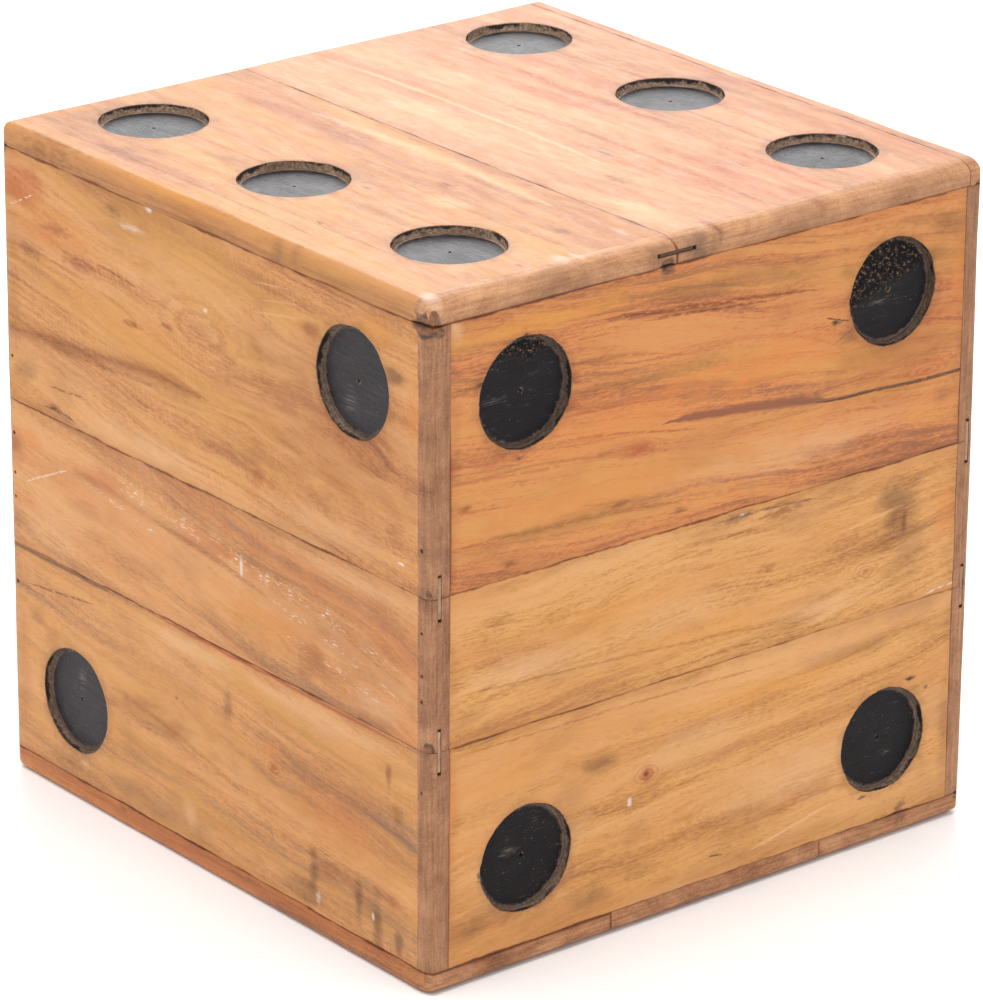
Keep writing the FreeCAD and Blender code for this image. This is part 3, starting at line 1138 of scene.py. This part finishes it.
# Patches: along and across the grain, half their size each way (mm), stain, strength.
BLOTS = {
    "left_board_upper": (
        (-150, 350, 42, 15, "orange", 0.45), (-122, 338, 22, 5, "plum", 0.8),
        (-172, 334, 14, 5, "plum", 0.8), (-146, 353, 18, 5, "plum", 0.7), (-185, 372, 34, 16, "red", 0.9),
        (120, 305, 95, 60, "shade", 0.75), (-88, 380, 11, 4, "smoke", 0.6),
        (-72, 374, 15, 2.6, "chalk", 0.4), (-53, 390, 4, 2.4, "chalk", 0.9),
        (-70, 312, 75, 15, "amber", 0.35), (-180, 258, 13, 8, "smoke", 0.5),
        (-71, 317, 10, 2.6, "brown", 0.9), (-37, 325, 9, 2.6, "brown", 0.8),
        (-1, 345, 2.4, 1.4, "chalk", 0.9), (95, 361, 12, 6, "plum", 0.8), (150, 378, 20, 9, "amber", 0.6),
        (168, 357, 10, 7, "smoke", 0.9), (185, 337, 7, 16, "orange", 0.5), (47, 260, 6, 6, "red", 0.6),
        (58, 259, 5, 4, "red", 0.5), (30, 268, 34, 10, "brown", 0.35), (168, 266, 9, 4, "brown", 0.5),
        (176, 250, 3.2, 1.2, "chalk", 0.9), (-150, 243, 8, 3, "brown", 0.8),
        (-190, 300, 8, 50, "brown", 0.3), (-60, 246, 60, 8, "pale", 0.4), (110, 250, 50, 9, "pale", 0.35),
    ),
    "left_board_middle": (
        (-193, 206, 10, 12, "plum", 0.8), (-177, 215, 14, 8, "orange", 0.5),
        (-106, 212, 34, 8, "red", 0.55), (110, 195, 110, 44, "shade", 0.5), (0, 205, 44, 9, "red", 0.5),
        (30, 202, 1.7, 6.5, "chalk", 0.95), (-120, 190, 26, 6, "brown", 0.3),
        (40, 176, 60, 12, "amber", 0.4), (-150, 166, 40, 12, "pale", 0.35),
        (96, 166, 16, 13, "brown", 0.45), (130, 226, 60, 6, "pale", 0.4), (150, 160, 24, 10, "pale", 0.45),
        (186, 170, 6, 14, "brown", 0.3),
    ),
    "left_board_lower": (
        (120, 85, 100, 50, "shade", 0.45), (-34, 98, 60, 26, "shade", 0.35), (59, 89, 5, 5, "red", 0.8),
        (55, 98, 12, 7, "orange", 0.5), (16, 112, 5, 9, "smoke", 0.65), (-34, 100, 2, 1.6, "brown", 0.9),
        (-173, 105, 9, 8, "brown", 0.5), (-158, 97, 9, 6, "brown", 0.4), (-60, 80, 44, 10, "brown", 0.5),
        (-24, 136, 60, 6, "pale", 0.5), (110, 134, 70, 7, "pale", 0.4), (-60, 26, 90, 12, "smoke", 0.45),
        (86, 24, 26, 8, "smoke", 0.6), (-135, 28, 12, 10, "smoke", 0.4), (-126, 27, 8, 5, "pale", 0.5),
        (-22, 31, 7, 10, "pale", 0.5), (164, 121, 3, 8, "brown", 0.8), (172, 98, 7, 9, "brown", 0.5),
        (96, 39, 5, 15, "smoke", 0.75), (137, 34, 4, 16, "smoke", 0.75), (154, 30, 5, 18, "smoke", 0.85),
        (173, 22, 4, 10, "smoke", 0.85), (150, 31, 1.7, 3, "chalk", 0.9), (100, 24, 3, 5, "chalk", 0.4),
        (168, 46, 9, 4, "red", 0.7), (107, 44, 20, 10, "brown", 0.5), (-190, 70, 9, 50, "brown", 0.3),
        (120, 80, 40, 20, "orange", 0.3),
    ),
    "front_board_upper": (
        (-120, 379, 70, 7, "amber", 0.7), (10, 373, 70, 7, "smoke", 0.45), (-139, 304, 4, 2, "ink", 0.95),
        (-54, 289, 13, 5, "rust", 0.8), (-102, 326, 9, 3, "red", 0.8), (-186, 306, 8, 5, "rust", 0.5),
        (-152, 305, 22, 5, "rust", 0.45), (-183, 387, 6, 8, "pale", 0.7), (-176, 283, 6, 3, "brown", 0.8),
        (-145, 244, 7, 2.4, "brown", 0.8), (-67, 260, 8, 2.6, "brown", 0.8),
        (-24, 246, 8, 2.4, "brown", 0.7), (140, 318, 62, 48, "shade", 0.8),
        (-110, 258, 80, 6, "smoke", 0.4), (-150, 352, 46, 5, "smoke", 0.5),
        (-60, 330, 90, 5, "smoke", 0.35), (58, 291, 30, 3.6, "umber", 0.75),
        (-60, 310, 80, 18, "orange", 0.45), (40, 318, 70, 13, "orange", 0.55),
        (-90, 270, 90, 12, "orange", 0.35), (-166, 352, 3.4, 1.4, "ink", 0.95),
        (-135, 373, 3, 1.8, "ink", 0.9), (89, 331, 5, 2, "ink", 0.95), (98, 322, 9, 8, "smoke", 0.7),
        (96, 360, 8, 6, "smoke", 0.5), (170, 372, 16, 8, "smoke", 0.7), (150, 380, 34, 5, "smoke", 0.4),
        (182, 340, 6, 26, "orange", 0.5), (160, 262, 22, 8, "amber", 0.4), (172, 268, 9, 6, "smoke", 0.5),
        (60, 262, 90, 12, "pale", 0.35), (-188, 250, 6, 24, "brown", 0.4),
    ),
    "front_board_middle": (
        (20, 231, 13, 4, "umber", 0.55), (52, 227, 18, 3.5, "brown", 0.8),
        (22, 232, 2.4, 1.1, "chalk", 0.9), (42, 195, 8, 4, "brown", 0.6), (-151, 213, 14, 5, "brown", 0.5),
        (142, 212, 18, 15, "smoke", 0.7), (146, 185, 16, 34, "smoke", 0.45),
        (-30, 190, 46, 13, "pale", 0.4), (128, 190, 26, 9, "brown", 0.4), (146, 198, 2, 9, "brown", 0.7),
        (-60, 196, 80, 11, "amber", 0.45), (-130, 180, 50, 10, "pale", 0.4), (10, 168, 80, 9, "amber", 0.4),
        (-176, 160, 14, 9, "brown", 0.4), (178, 196, 10, 20, "orange", 0.4), (90, 160, 40, 7, "pale", 0.4),
    ),
    "front_board_lower": (
        (-45, 92, 5, 5.5, "rust", 0.9), (-45, 92, 2.4, 2.6, "ink", 0.7), (-57, 78, 2, 3.4, "chalk", 0.8),
        (-79, 108, 13, 8, "smoke", 0.75), (-49, 59, 12, 9, "smoke", 0.25), (-85, 27, 16, 9, "smoke", 0.7),
        (-49, 34, 12, 7, "smoke", 0.3), (-171, 33, 13, 8, "smoke", 0.45), (-100, 90, 12, 18, "smoke", 0.3),
        (-140, 118, 50, 10, "amber", 0.4), (40, 120, 80, 9, "amber", 0.45), (110, 128, 50, 6, "smoke", 0.4),
        (-130, 66, 46, 26, "pale", 0.35), (60, 60, 60, 20, "pale", 0.4), (-5, 102, 46, 18, "pale", 0.25),
        (154, 98, 5, 2.2, "ink", 0.95), (120, 32, 4, 1.6, "ink", 0.9), (168, 89, 2.4, 1.4, "ink", 0.8),
        (-165, 64, 2.2, 4, "ink", 0.8), (183, 60, 6, 30, "brown", 0.35), (-186, 100, 5, 40, "orange", 0.4),
        (40, 20, 90, 6, "brown", 0.35),
    ),
    "top_board_left": (
        (-50, 70, 9, 4, "plum", 0.9), (-180, 124, 6, 3.5, "plum", 0.9), (-185, 99, 8, 5, "chalk", 0.35),
        (-186, 90, 6, 4, "chalk", 0.3), (-170, 45, 10, 4, "chalk", 0.2), (-58, 165, 4, 2, "brown", 0.8),
        (-26, 108, 5, 2, "brown", 0.8), (-191, 193, 8, 7, "chalk", 0.5), (59, 140, 24, 9, "brown", 0.45),
        (111, 178, 26, 10, "brown", 0.5), (-149, 70, 9, 5, "smoke", 0.6), (-72, 90, 18, 9, "pale", 0.5),
        # The long amber patch along the top's left edge, at (20, 197), is a painted highlight.
        (-66, 199, 6, 3, "umber", 0.4), (-82, 198, 5, 3, "umber", 0.4), (20, 197, 110, 5, "amber", 0.35),
        (150, 197, 40, 5, "brown", 0.6), (170, 150, 26, 34, "brown", 0.6), (-150, 150, 30, 14, "pale", 0.4),
        (120, 60, 60, 10, "red", 0.45), (-60, 130, 60, 6, "brown", 0.4), (-198, 110, 5, 34, "umber", 0.45),
        (-198, 40, 5, 12, "umber", 0.6),
    ),
    "top_board_right": (
        (-191, -2, 10, 3.5, "plum", 0.9), (-103, -11, 18, 5, "smoke", 0.5),
        (-60, -36, 9, 1.8, "umber", 0.8), (31, -78, 44, 8, "red", 0.5), (-103, -70, 50, 9, "red", 0.5),
        (-178, -79, 18, 10, "red", 0.5), (60, -120, 60, 9, "red", 0.4), (-110, -165, 50, 9, "red", 0.45),
        (-150, 10, 30, 8, "pale", 0.5), (60, 0, 60, 10, "pale", 0.4), (-198, 14, 5, 18, "ink", 0.55),
        (-198, -60, 5, 30, "umber", 0.4), (-198, -150, 5, 40, "umber", 0.3),
    ),
    "bottom_board_left": ((-198, -150, 6, 30, "brown", 0.5), (60, -120, 60, 20, "smoke", 0.5)),
    "bottom_board_middle": (
        (-198, 20, 6, 40, "brown", 0.4), (-60, 40, 50, 16, "smoke", 0.6), (120, -20, 40, 12, "plum", 0.6),
    ),
    "bottom_board_right": ((90, 140, 50, 14, "smoke", 0.5), (-120, 170, 40, 10, "brown", 0.5)),
    "right_board_upper": (
        (-150, 370, 34, 8, "smoke", 0.6), (20, 300, 60, 12, "amber", 0.5), (90, 262, 40, 8, "pale", 0.5),
        (-60, 340, 26, 6, "plum", 0.6), (170, 320, 10, 20, "brown", 0.5), (0, 380, 50, 6, "smoke", 0.4),
        (60, 345, 3, 1.6, "ink", 0.9),
    ),
    "right_board_middle": (
        (-120, 200, 40, 9, "brown", 0.5), (60, 176, 34, 8, "smoke", 0.5), (150, 214, 20, 6, "plum", 0.6),
        (-30, 216, 50, 5, "pale", 0.5),
    ),
    "right_board_lower": (
        (-60, 60, 44, 12, "smoke", 0.5), (40, 26, 80, 8, "smoke", 0.5), (120, 120, 34, 8, "amber", 0.5),
        (-20, 118, 5, 4, "rust", 0.9),
    ),
    "back_board_upper": (
        (-60, 300, 50, 10, "amber", 0.5), (90, 350, 34, 9, "plum", 0.5), (150, 280, 20, 8, "smoke", 0.6),
        (0, 262, 60, 7, "pale", 0.5), (-170, 330, 12, 16, "brown", 0.5),
    ),
    "back_board_middle": (
        (80, 206, 40, 8, "brown", 0.5), (-90, 170, 44, 8, "smoke", 0.5), (140, 170, 6, 4, "rust", 0.9),
    ),
    "back_board_lower": (
        (-40, 40, 60, 12, "smoke", 0.5), (60, 110, 44, 9, "amber", 0.5), (-150, 100, 24, 9, "plum", 0.5),
        (0, 22, 120, 6, "brown", 0.4),
    ),
}

# Lines along the grain: places on the way, half width (mm), stain, strength, how broken.
TRAILS = {
    "left_board_upper": (
        (((-225, 279), (-144, 284), (-94, 288), (-45, 293), (10, 292)), 9.0, "shade", 0.9, 0.0),
        (((-200, 280), (-144, 285), (-94, 289), (-45, 293), (0, 292)), 3.4, "brown", 0.5, 0.25),
        (((-170, 281), (-94, 283), (-30, 289)), 2.6, "brown", 0.45, 0.35),
        (((-107, 344), (-63, 340)), 1.4, "brown", 0.8, 0.4),
        (((-157, 255), (-115, 258)), 1.4, "brown", 0.9, 0.5),
        (((-163, 240), (-145, 242), (-128, 238)), 1.5, "ink", 0.8, 0.3),
        (((41, 374), (79, 379)), 0.8, "pale", 0.35, 0.0), (((48, 365), (88, 373)), 0.8, "pale", 0.35, 0.0),
        (((39, 356), (88, 365)), 0.8, "pale", 0.35, 0.0),
        (((-193, 356), (-166, 369)), 0.9, "chalk", 0.6, 0.6),
    ),
    "left_board_middle": (
        (((-140, 216), (-57, 214), (30, 204), (85, 200), (192, 182)), 8, "chalk", 0.75, 0.95),
        (((-125, 206), (-60, 197), (-30, 190)), 3, "chalk", 0.75, 0.95),
        (((50, 192), (130, 180), (176, 168)), 5, "chalk", 0.7, 0.95),
        (((-184, 187), (-136, 209)), 0.9, "chalk", 0.6, 0.2),
        (((60, 176), (120, 168), (170, 160)), 4, "chalk", 0.6, 0.95),
        (((-140, 210), (-50, 205), (30, 196)), 6, "plum", 0.35, 0.0),
        (((-60, 205), (20, 196), (60, 190)), 3, "brown", 0.5, 0.3),
    ),
    "left_board_lower": (
        (((-225, 144.8), (-150, 144.6), (-88, 144.6)), 2.2, "umber", 0.9, 0.0),
        (((-70, 144.9), (40, 144.4), (130, 143.9), (196, 144.2)), 1.9, "rust", 0.85, 0.0),
        (((-185, 123), (-110, 132)), 1.2, "brown", 0.9, 0.3),
        (((-110, 86), (-40, 78), (40, 60)), 3.0, "brown", 0.35, 0.3),
    ),
    "front_board_upper": (
        (((-90, 371), (-27, 365), (31, 359), (84, 353)), 2.6, "brown", 0.9, 0.2),
        (((-60, 364), (10, 358), (50, 354)), 1.2, "brown", 0.8, 0.4),
        (((-116, 320), (-70, 318), (-36, 314)), 1.3, "rust", 0.8, 0.4),
        (((-116, 308), (-60, 300), (-8, 290)), 1.4, "rust", 0.8, 0.4),
        (((-42, 300.5), (-10, 298.5), (20, 295.5), (52, 291.5), (94, 286)), 3.9, "heart", 1.6, 0.0),
        (((40, 294), (80, 287), (120, 284)), 2.0, "umber", 0.6, 0.25),
        (((70, 288), (90, 285.5), (124, 284), (162, 282), (230, 281)), 1.25, "crack", 0.85, 0.12),
        (((-190, 352), (-110, 350), (-30, 340)), 3.0, "brown", 0.5, 0.15),
        (((-190, 262), (-100, 258), (-10, 250)), 3.0, "brown", 0.5, 0.2),
        (((-196, 300), (-150, 296), (-100, 292)), 2.0, "rust", 0.5, 0.3),
        (((80, 336), (100, 330)), 0.7, "ink", 0.8, 0.2), (((86, 318), (104, 326)), 0.5, "ink", 0.6, 0.3),
        (((-40, 342), (40, 334), (100, 312)), 2.4, "rust", 0.35, 0.3),
    ),
    "front_board_middle": (
        (((96, 203), (148, 208)), 1.5, "pale", 0.45, 0.15),
        (((164, 148), (190, 150)), 0.9, "chalk", 0.7, 0.2),
        (((-10, 230), (30, 231), (90, 226)), 1.2, "umber", 0.8, 0.45),
        (((-190, 176), (-60, 168), (60, 158)), 1.6, "brown", 0.5, 0.3),
        (((-100, 150), (0, 152), (80, 150)), 1.0, "brown", 0.5, 0.5),
    ),
    "front_board_lower": (
        (((30, 22), (98, 35)), 1.6, "pale", 0.8, 0.1), (((2, 28), (14, 26)), 1.0, "ink", 0.7, 0.2),
        (((15, 11), (24, 11)), 0.8, "ink", 0.7, 0.2),
        (((-190, 140), (-60, 138), (60, 134)), 1.2, "brown", 0.5, 0.4),
        (((60, 104), (120, 108), (180, 114)), 1.6, "brown", 0.5, 0.4),
    ),
    "top_board_left": (
        (((-123, 48), (8, 44), (109, 53)), 7.0, "pale", 0.5, 0.0),
        (((-170, 110), (-60, 118), (90, 108)), 3.0, "red", 0.6, 0.15),
        (((-100, 184), (20, 180), (170, 186)), 2.4, "brown", 0.5, 0.3),
        (((-190, 80), (-90, 88), (0, 84)), 1.6, "brown", 0.45, 0.3),
        (((20, 120), (90, 128), (180, 120)), 2.4, "red", 0.5, 0.2),
        (((-160, 160), (-40, 168), (60, 160)), 1.8, "brown", 0.4, 0.3),
    ),
    "top_board_right": (
        (((-196, -48), (-60, -52), (80, -46)), 5.0, "red", 0.7, 0.2),
        (((-196, -92), (-40, -98), (160, -90)), 6.0, "red", 0.75, 0.2),
        (((-190, -150), (-30, -146), (120, -152)), 5.0, "red", 0.6, 0.2),
        (((-150, -128), (-30, -124), (80, -132)), 2.0, "brown", 0.5, 0.3),
        (((-100, -20), (40, -26), (190, -18)), 3.0, "pale", 0.7, 0.1),
    ),
    "right_board_upper": (
        (((-180, 270), (-60, 276), (60, 268), (170, 274)), 2.4, "brown", 0.8, 0.3),
        (((-40, 330), (60, 326), (140, 332)), 1.6, "rust", 0.7, 0.3),
    ),
    "right_board_middle": ((((-170, 190), (-40, 196), (60, 190)), 1.8, "brown", 0.8, 0.3),),
    "right_board_lower": (
        (((-120, 110), (0, 104), (150, 112)), 2.2, "brown", 0.7, 0.3),
        (((40, 60), (110, 56), (190, 58)), 1.0, "crack", 0.9, 0.2),
    ),
    "back_board_upper": (
        (((-190, 360), (-60, 352), (60, 358)), 2.6, "brown", 0.8, 0.3),
        (((20, 320), (100, 326), (190, 322)), 1.6, "rust", 0.7, 0.3),
    ),
    "back_board_middle": ((((-100, 196), (20, 190), (150, 196)), 2.0, "rust", 0.7, 0.3),),
    "back_board_lower": ((((-150, 70), (-20, 64), (90, 72)), 2.2, "brown", 0.8, 0.3),),
}

# Ring knots: along and across the grain, half their size each way (mm), stain, strength.
KNOTS = {
    "left_board_upper": ((-6, 332, 58, 26, "brown", 0.4),),
    "front_board_upper": ((160, 287, 24, 7, "rust", 0.75), (-54, 289, 16, 7, "rust", 0.6)),
    "front_board_middle": ((117, 174, 15, 9, "brown", 0.55),),
    "front_board_lower": ((-45, 92, 13, 8, "brown", 0.6),),
    "left_board_lower": ((59, 89, 14, 9, "brown", 0.35),),
    "top_board_left": ((-50, 70, 20, 9, "red", 0.5),),
    "right_board_lower": ((-20, 118, 14, 9, "brown", 0.7),),
    "right_board_upper": ((70, 344, 20, 9, "brown", 0.5),),
    "back_board_middle": ((140, 170, 16, 9, "brown", 0.7),),
    "back_board_upper": ((-90, 330, 26, 10, "brown", 0.5),),
    "bottom_board_middle": ((-90, 10, 20, 11, "brown", 0.7),),
}


def add_marks(wood, node, colour, height):
    """Lays a board's stains, streaks, knots and scratches over its timber."""
    masks = [(wood.blot(*spot[:4]), *spot[4:]) for spot in BLOTS.get(node, ())]
    masks += [(wood.knot(*spot[:4]), *spot[4:]) for spot in KNOTS.get(node, ())]
    for points, width, stain, strength, broken in TRAILS.get(node, ()):
        masks.append((wood.trail(points, width, broken), stain, strength))
    for mask, stain, strength in masks:
        if stain in TINTS:
            colour = wood.tint(mask * strength, colour, TINTS[stain])
        else:
            colour = wood.mix(mask * strength, colour, COATS[stain])
        if stain in SINKS:
            height = height - mask * (SINKS[stain] * strength)
    return colour, height


# ---- How each board looks ----
CORNER_END = ((0.19, 0.085, 0.042), (0.350, 0.160, 0.076), (0.50, 0.26, 0.134))
TOP_END = ((0.30, 0.125, 0.055), (0.49, 0.238, 0.112), (0.61, 0.335, 0.175))
BASE_END = ((0.19, 0.080, 0.040), (0.44, 0.190, 0.082), (0.60, 0.33, 0.17))
LOOKS = {
    "front_board_upper": Timber(RUSSET, ORANGE, GOLD, HONEY, pith=(250, -70), grain=2.1, streak=2.5,
        slope=0.10, bare=0.6),
    "front_board_middle": Timber(RUSSET, HONEY, PALE, GOLD, pith=(190, -30), rings=1.3, tilt=0.12,
        grain=1.6, slope=-0.05),
    "front_board_lower": Timber(RUSSET, HONEY, PALE, GOLD, pith=(30, -60), rings=0.7, grain=1.4,
        slope=-0.08),
    "left_board_upper": Timber(RUSSET, GOLD, PALE, HONEY, pith=(330, -35), rings=1.3, tilt=0.14,
        ripple=1.0, end=CORNER_END, slope=0.12),
    "left_board_middle": Timber(DRAB, GOLD, PALE, ORANGE, pith=(170, -50), ripple=0.7, hue=0.35,
        end=CORNER_END, slope=0.14),
    "left_board_lower": Timber(DRAB, GOLD, PALE, HONEY, pith=(60, -60), ripple=0.9, end=CORNER_END,
        slope=0.10),
    "right_board_upper": Timber(RUSSET, ORANGE, GOLD, PALE, pith=(340, -40), rings=0.9, end=CORNER_END,
        slope=-0.06),
    "right_board_middle": Timber(RUSSET, HONEY, PALE, ORANGE, pith=(200, -30), rings=1.2,
        end=CORNER_END),
    "right_board_lower": Timber(DRAB, GOLD, PALE, HONEY, pith=(40, -50), rings=0.8, end=CORNER_END,
        slope=0.08),
    "back_board_upper": Timber(RUSSET, GOLD, PALE, HONEY, pith=(240, -50), rings=0.9, ring=6.5,
        slope=0.09),
    "back_board_middle": Timber(DRAB, HONEY, PALE, GOLD, pith=(150, -35), rings=1.1, slope=-0.05),
    "back_board_lower": Timber(RUSSET, ORANGE, GOLD, PALE, pith=(90, -70), rings=0.6, streak=1.2),
    "top_board_left": Timber(SIENNA, STRAW, WHEAT, HONEY, pith=(110, -60), grain=0.75, end=TOP_END,
        slope=0.05, bare=1.7),
    "top_board_right": Timber(SIENNA, PEACH, CREAM, PINK, pith=(-60, -60), grain=0.6, end=TOP_END,
        slope=-0.04, bare=1.7),
    "top_strip": Timber(SIENNA, PEACH, CREAM, PINK, pith=(-150, -60), grain=0.6, bands=0.7,
        end=TOP_END),
    "bottom_board_left": Timber(UMBER, RUSSET, GOLD, ORANGE, pith=(-110, -60), end=BASE_END),
    "bottom_board_middle": Timber(UMBER, RUSSET, GOLD, ORANGE, pith=(10, -60), rings=0.9, end=BASE_END),
    "bottom_board_right": Timber(UMBER, RUSSET, ORANGE, GOLD, pith=(140, -60), end=BASE_END),
}


def board_material(face_name, node):
    look = LOOKS[node]
    knots = [spot[:4] for spot in KNOTS.get(node, ())]
    wood = Wood(node + "_wood", face_name, hash_name(node), look.slope, knots)
    colour, height = wood_body(wood, look)
    colour, height = add_marks(wood, node, colour, height)
    colour, height, inside = wood_wear(wood, colour, height, look)
    roughness = 0.5 + (wood.field(20, 6, 31, 3) - 0.5) * 0.25 + inside * 0.2
    return wood.finish(colour, roughness, height)


def plain_wood(name, look, face_name):
    wood = Wood(name, face_name, hash_name(name))
    colour, height = wood_body(wood, look)
    return wood.finish(colour, 0.6, height)


# Where some pips' floors are scuffed: along and across the grain from the centre, and
# half the size each way, in millimetres.
SCUFFS = {
    "front_pip_paint_1": (-19, -2, 10, 2.4),
    "front_pip_paint_2": (-6, -6, 9, 2.2),
    "front_pip_paint_3": (-9, 5, 8, 4.0),
    "front_pip_paint_4": (6, -11, 6, 2.0),
    "left_pip_paint_1": (-7, -12, 6, 9),
    "left_pip_paint_2": (1, 11, 4, 9),
}
# How bright each face's paint is, against the ramp above: painted light and shade, set for how much light
# each face gets.
PAINT_LIGHT_BY_FACE = {"front": 0.6, "back": 0.8, "left": 1.7, "right": 0.8, "top": 1.05, "bottom": 0.8}
# How strongly paint reflects: duller on the front.
PAINT_GLOSS, FRONT_PAINT_GLOSS = 0.22, 0.12


def paint_material(face_name):
    """Matt charcoal paint, brushed along the grain, with scuffs and bare specks."""
    wood = Wood(face_name + "_paint", face_name, hash_name(face_name))
    rough = wood.attribute("rough")
    out = wood.attribute("out")
    brush = wood.field(14, 0.8, 1, 3, 0.6)
    cloud = wood.field(13, 9, 2, 3)
    grit = wood.field(0.9, 0.8, 3, 2)
    # Each face's paint is brightened or darkened here: painted light and shade.
    shade = wood.ramp(brush * 0.55 + cloud * 0.45, PAINT, PAINT_LIGHT_BY_FACE[face_name])
    rubs = wood.ease(wood.field(6, 1.3, 4, 4, 0.6), 0.58, 0.72) * wood.ease(cloud, 0.48, 0.62)
    shade = wood.mix(rubs * 0.45, shade, RUBBED)
    for node in sorted(SCUFFS):
        if node.startswith(face_name):
            low, high = FACES[face_name].box(node)
            g, s, half_g, half_s = SCUFFS[node]
            place = ((low[0] + high[0]) / 2 / MM + g, (low[1] + high[1]) / 2 / MM + s)
            scuff = wood.blot(*place, half_g, half_s) * wood.ease(brush, 0.44, 0.60)
            shade = wood.mix(scuff * 0.5, shade, SCUFFED)
    specks = wood.ease(wood.field(1.4, 1.2, 5, 1), 0.73, 0.79)
    shade = wood.mix(specks * 0.5, shade, SPECKLED)
    torn = wood.field(3.0, 2.2, 6, 4, 0.7)
    pits = wood.ease(torn, 0.50, 0.42) * rough
    shade = wood.mix(pits * 0.9, shade, PITTED)
    bare = wood.ease(torn, 0.53, 0.60) * wood.ease(grit, 0.42, 0.52) * rough
    shade = wood.mix(bare * 0.75, shade, wood.ramp(grit, BARED))
    lip = wood.ease(wood.field(2, 2, 8, 1), 0.46, 0.56) * wood.ease(out, 0.08, 0.06)
    shade = wood.mix(lip * 0.5, shade, HOLE_LIP)
    thin = wood.ease(out + (wood.field(3, 3, 7, 3) - 0.5) * 0.14, 0.95, 1.03)
    shade = wood.mix(thin * 0.7, shade, THINNED)
    height = brush * 0.6 + grit * 0.25 + rough * torn * 3.0 - rubs * 0.2
    roughness = 0.42 + (cloud - 0.5) * 0.2 + rough * 0.3
    gloss = FRONT_PAINT_GLOSS if face_name == "front" else PAINT_GLOSS
    return wood.finish(shade, roughness, height, gloss, 0.0005)


def steel_material():
    metal = Graph("brad_steel")
    place = metal.node("ShaderNodeTexCoord", {}, "Object")
    grain = metal.node("ShaderNodeVectorMath", {0: place, 1: (900, 900, 900)}, operation="MULTIPLY")
    cloud = metal.noise(grain)
    metal.put(metal.shader.inputs["Base Color"], metal.ramp(cloud, (
        (0.35, (0.05, 0.035, 0.03)), (0.6, (0.22, 0.20, 0.19)))))
    metal.shader.inputs["Metallic"].default_value = 0.8
    metal.put(metal.shader.inputs["Roughness"], 0.45 + cloud * 0.2)
    return metal.material


# The tongues are pale, but the top one's ends are dark with dirt.
CLEAN_END = ((0.22, 0.12, 0.07), (0.40, 0.24, 0.145), (0.55, 0.38, 0.26))
DIRTY_END = (INK, (0.08, 0.045, 0.03), (0.18, 0.10, 0.06))
PALE_TONGUE = Timber(TAN, PALE, CREAM, PEACH, pith=(0, -300), end=CLEAN_END)
DIRTY_TONGUE = Timber(TAN, PALE, CREAM, PEACH, pith=(0, -300), end=DIRTY_END)


steel = steel_material()
paints = {side: paint_material(side) for side in FACES}
tongues = {}
for side in FACES:
    ends = DIRTY_TONGUE if side == "top" else PALE_TONGUE
    tongues[side] = plain_wood(side + "_tongue_wood", ends, side)
dowels = plain_wood("dowel_wood", PALE_TONGUE, "top")
add_camera()
for name in sorted(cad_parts):
    side = name.split("_")[0]
    if "board" in name or name == "top_strip":
        build_board(side, name, board_material(side, name))
    elif "pip_paint" in name:
        paint_coat(side, name, paints[side])
    elif "tongue" in name:
        build_tongue(side, name, tongues[side])
    else:
        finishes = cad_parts[name].data.materials
        finishes.clear()
        finishes.append(dowels if "dowels" in name else steel)
add_stage()
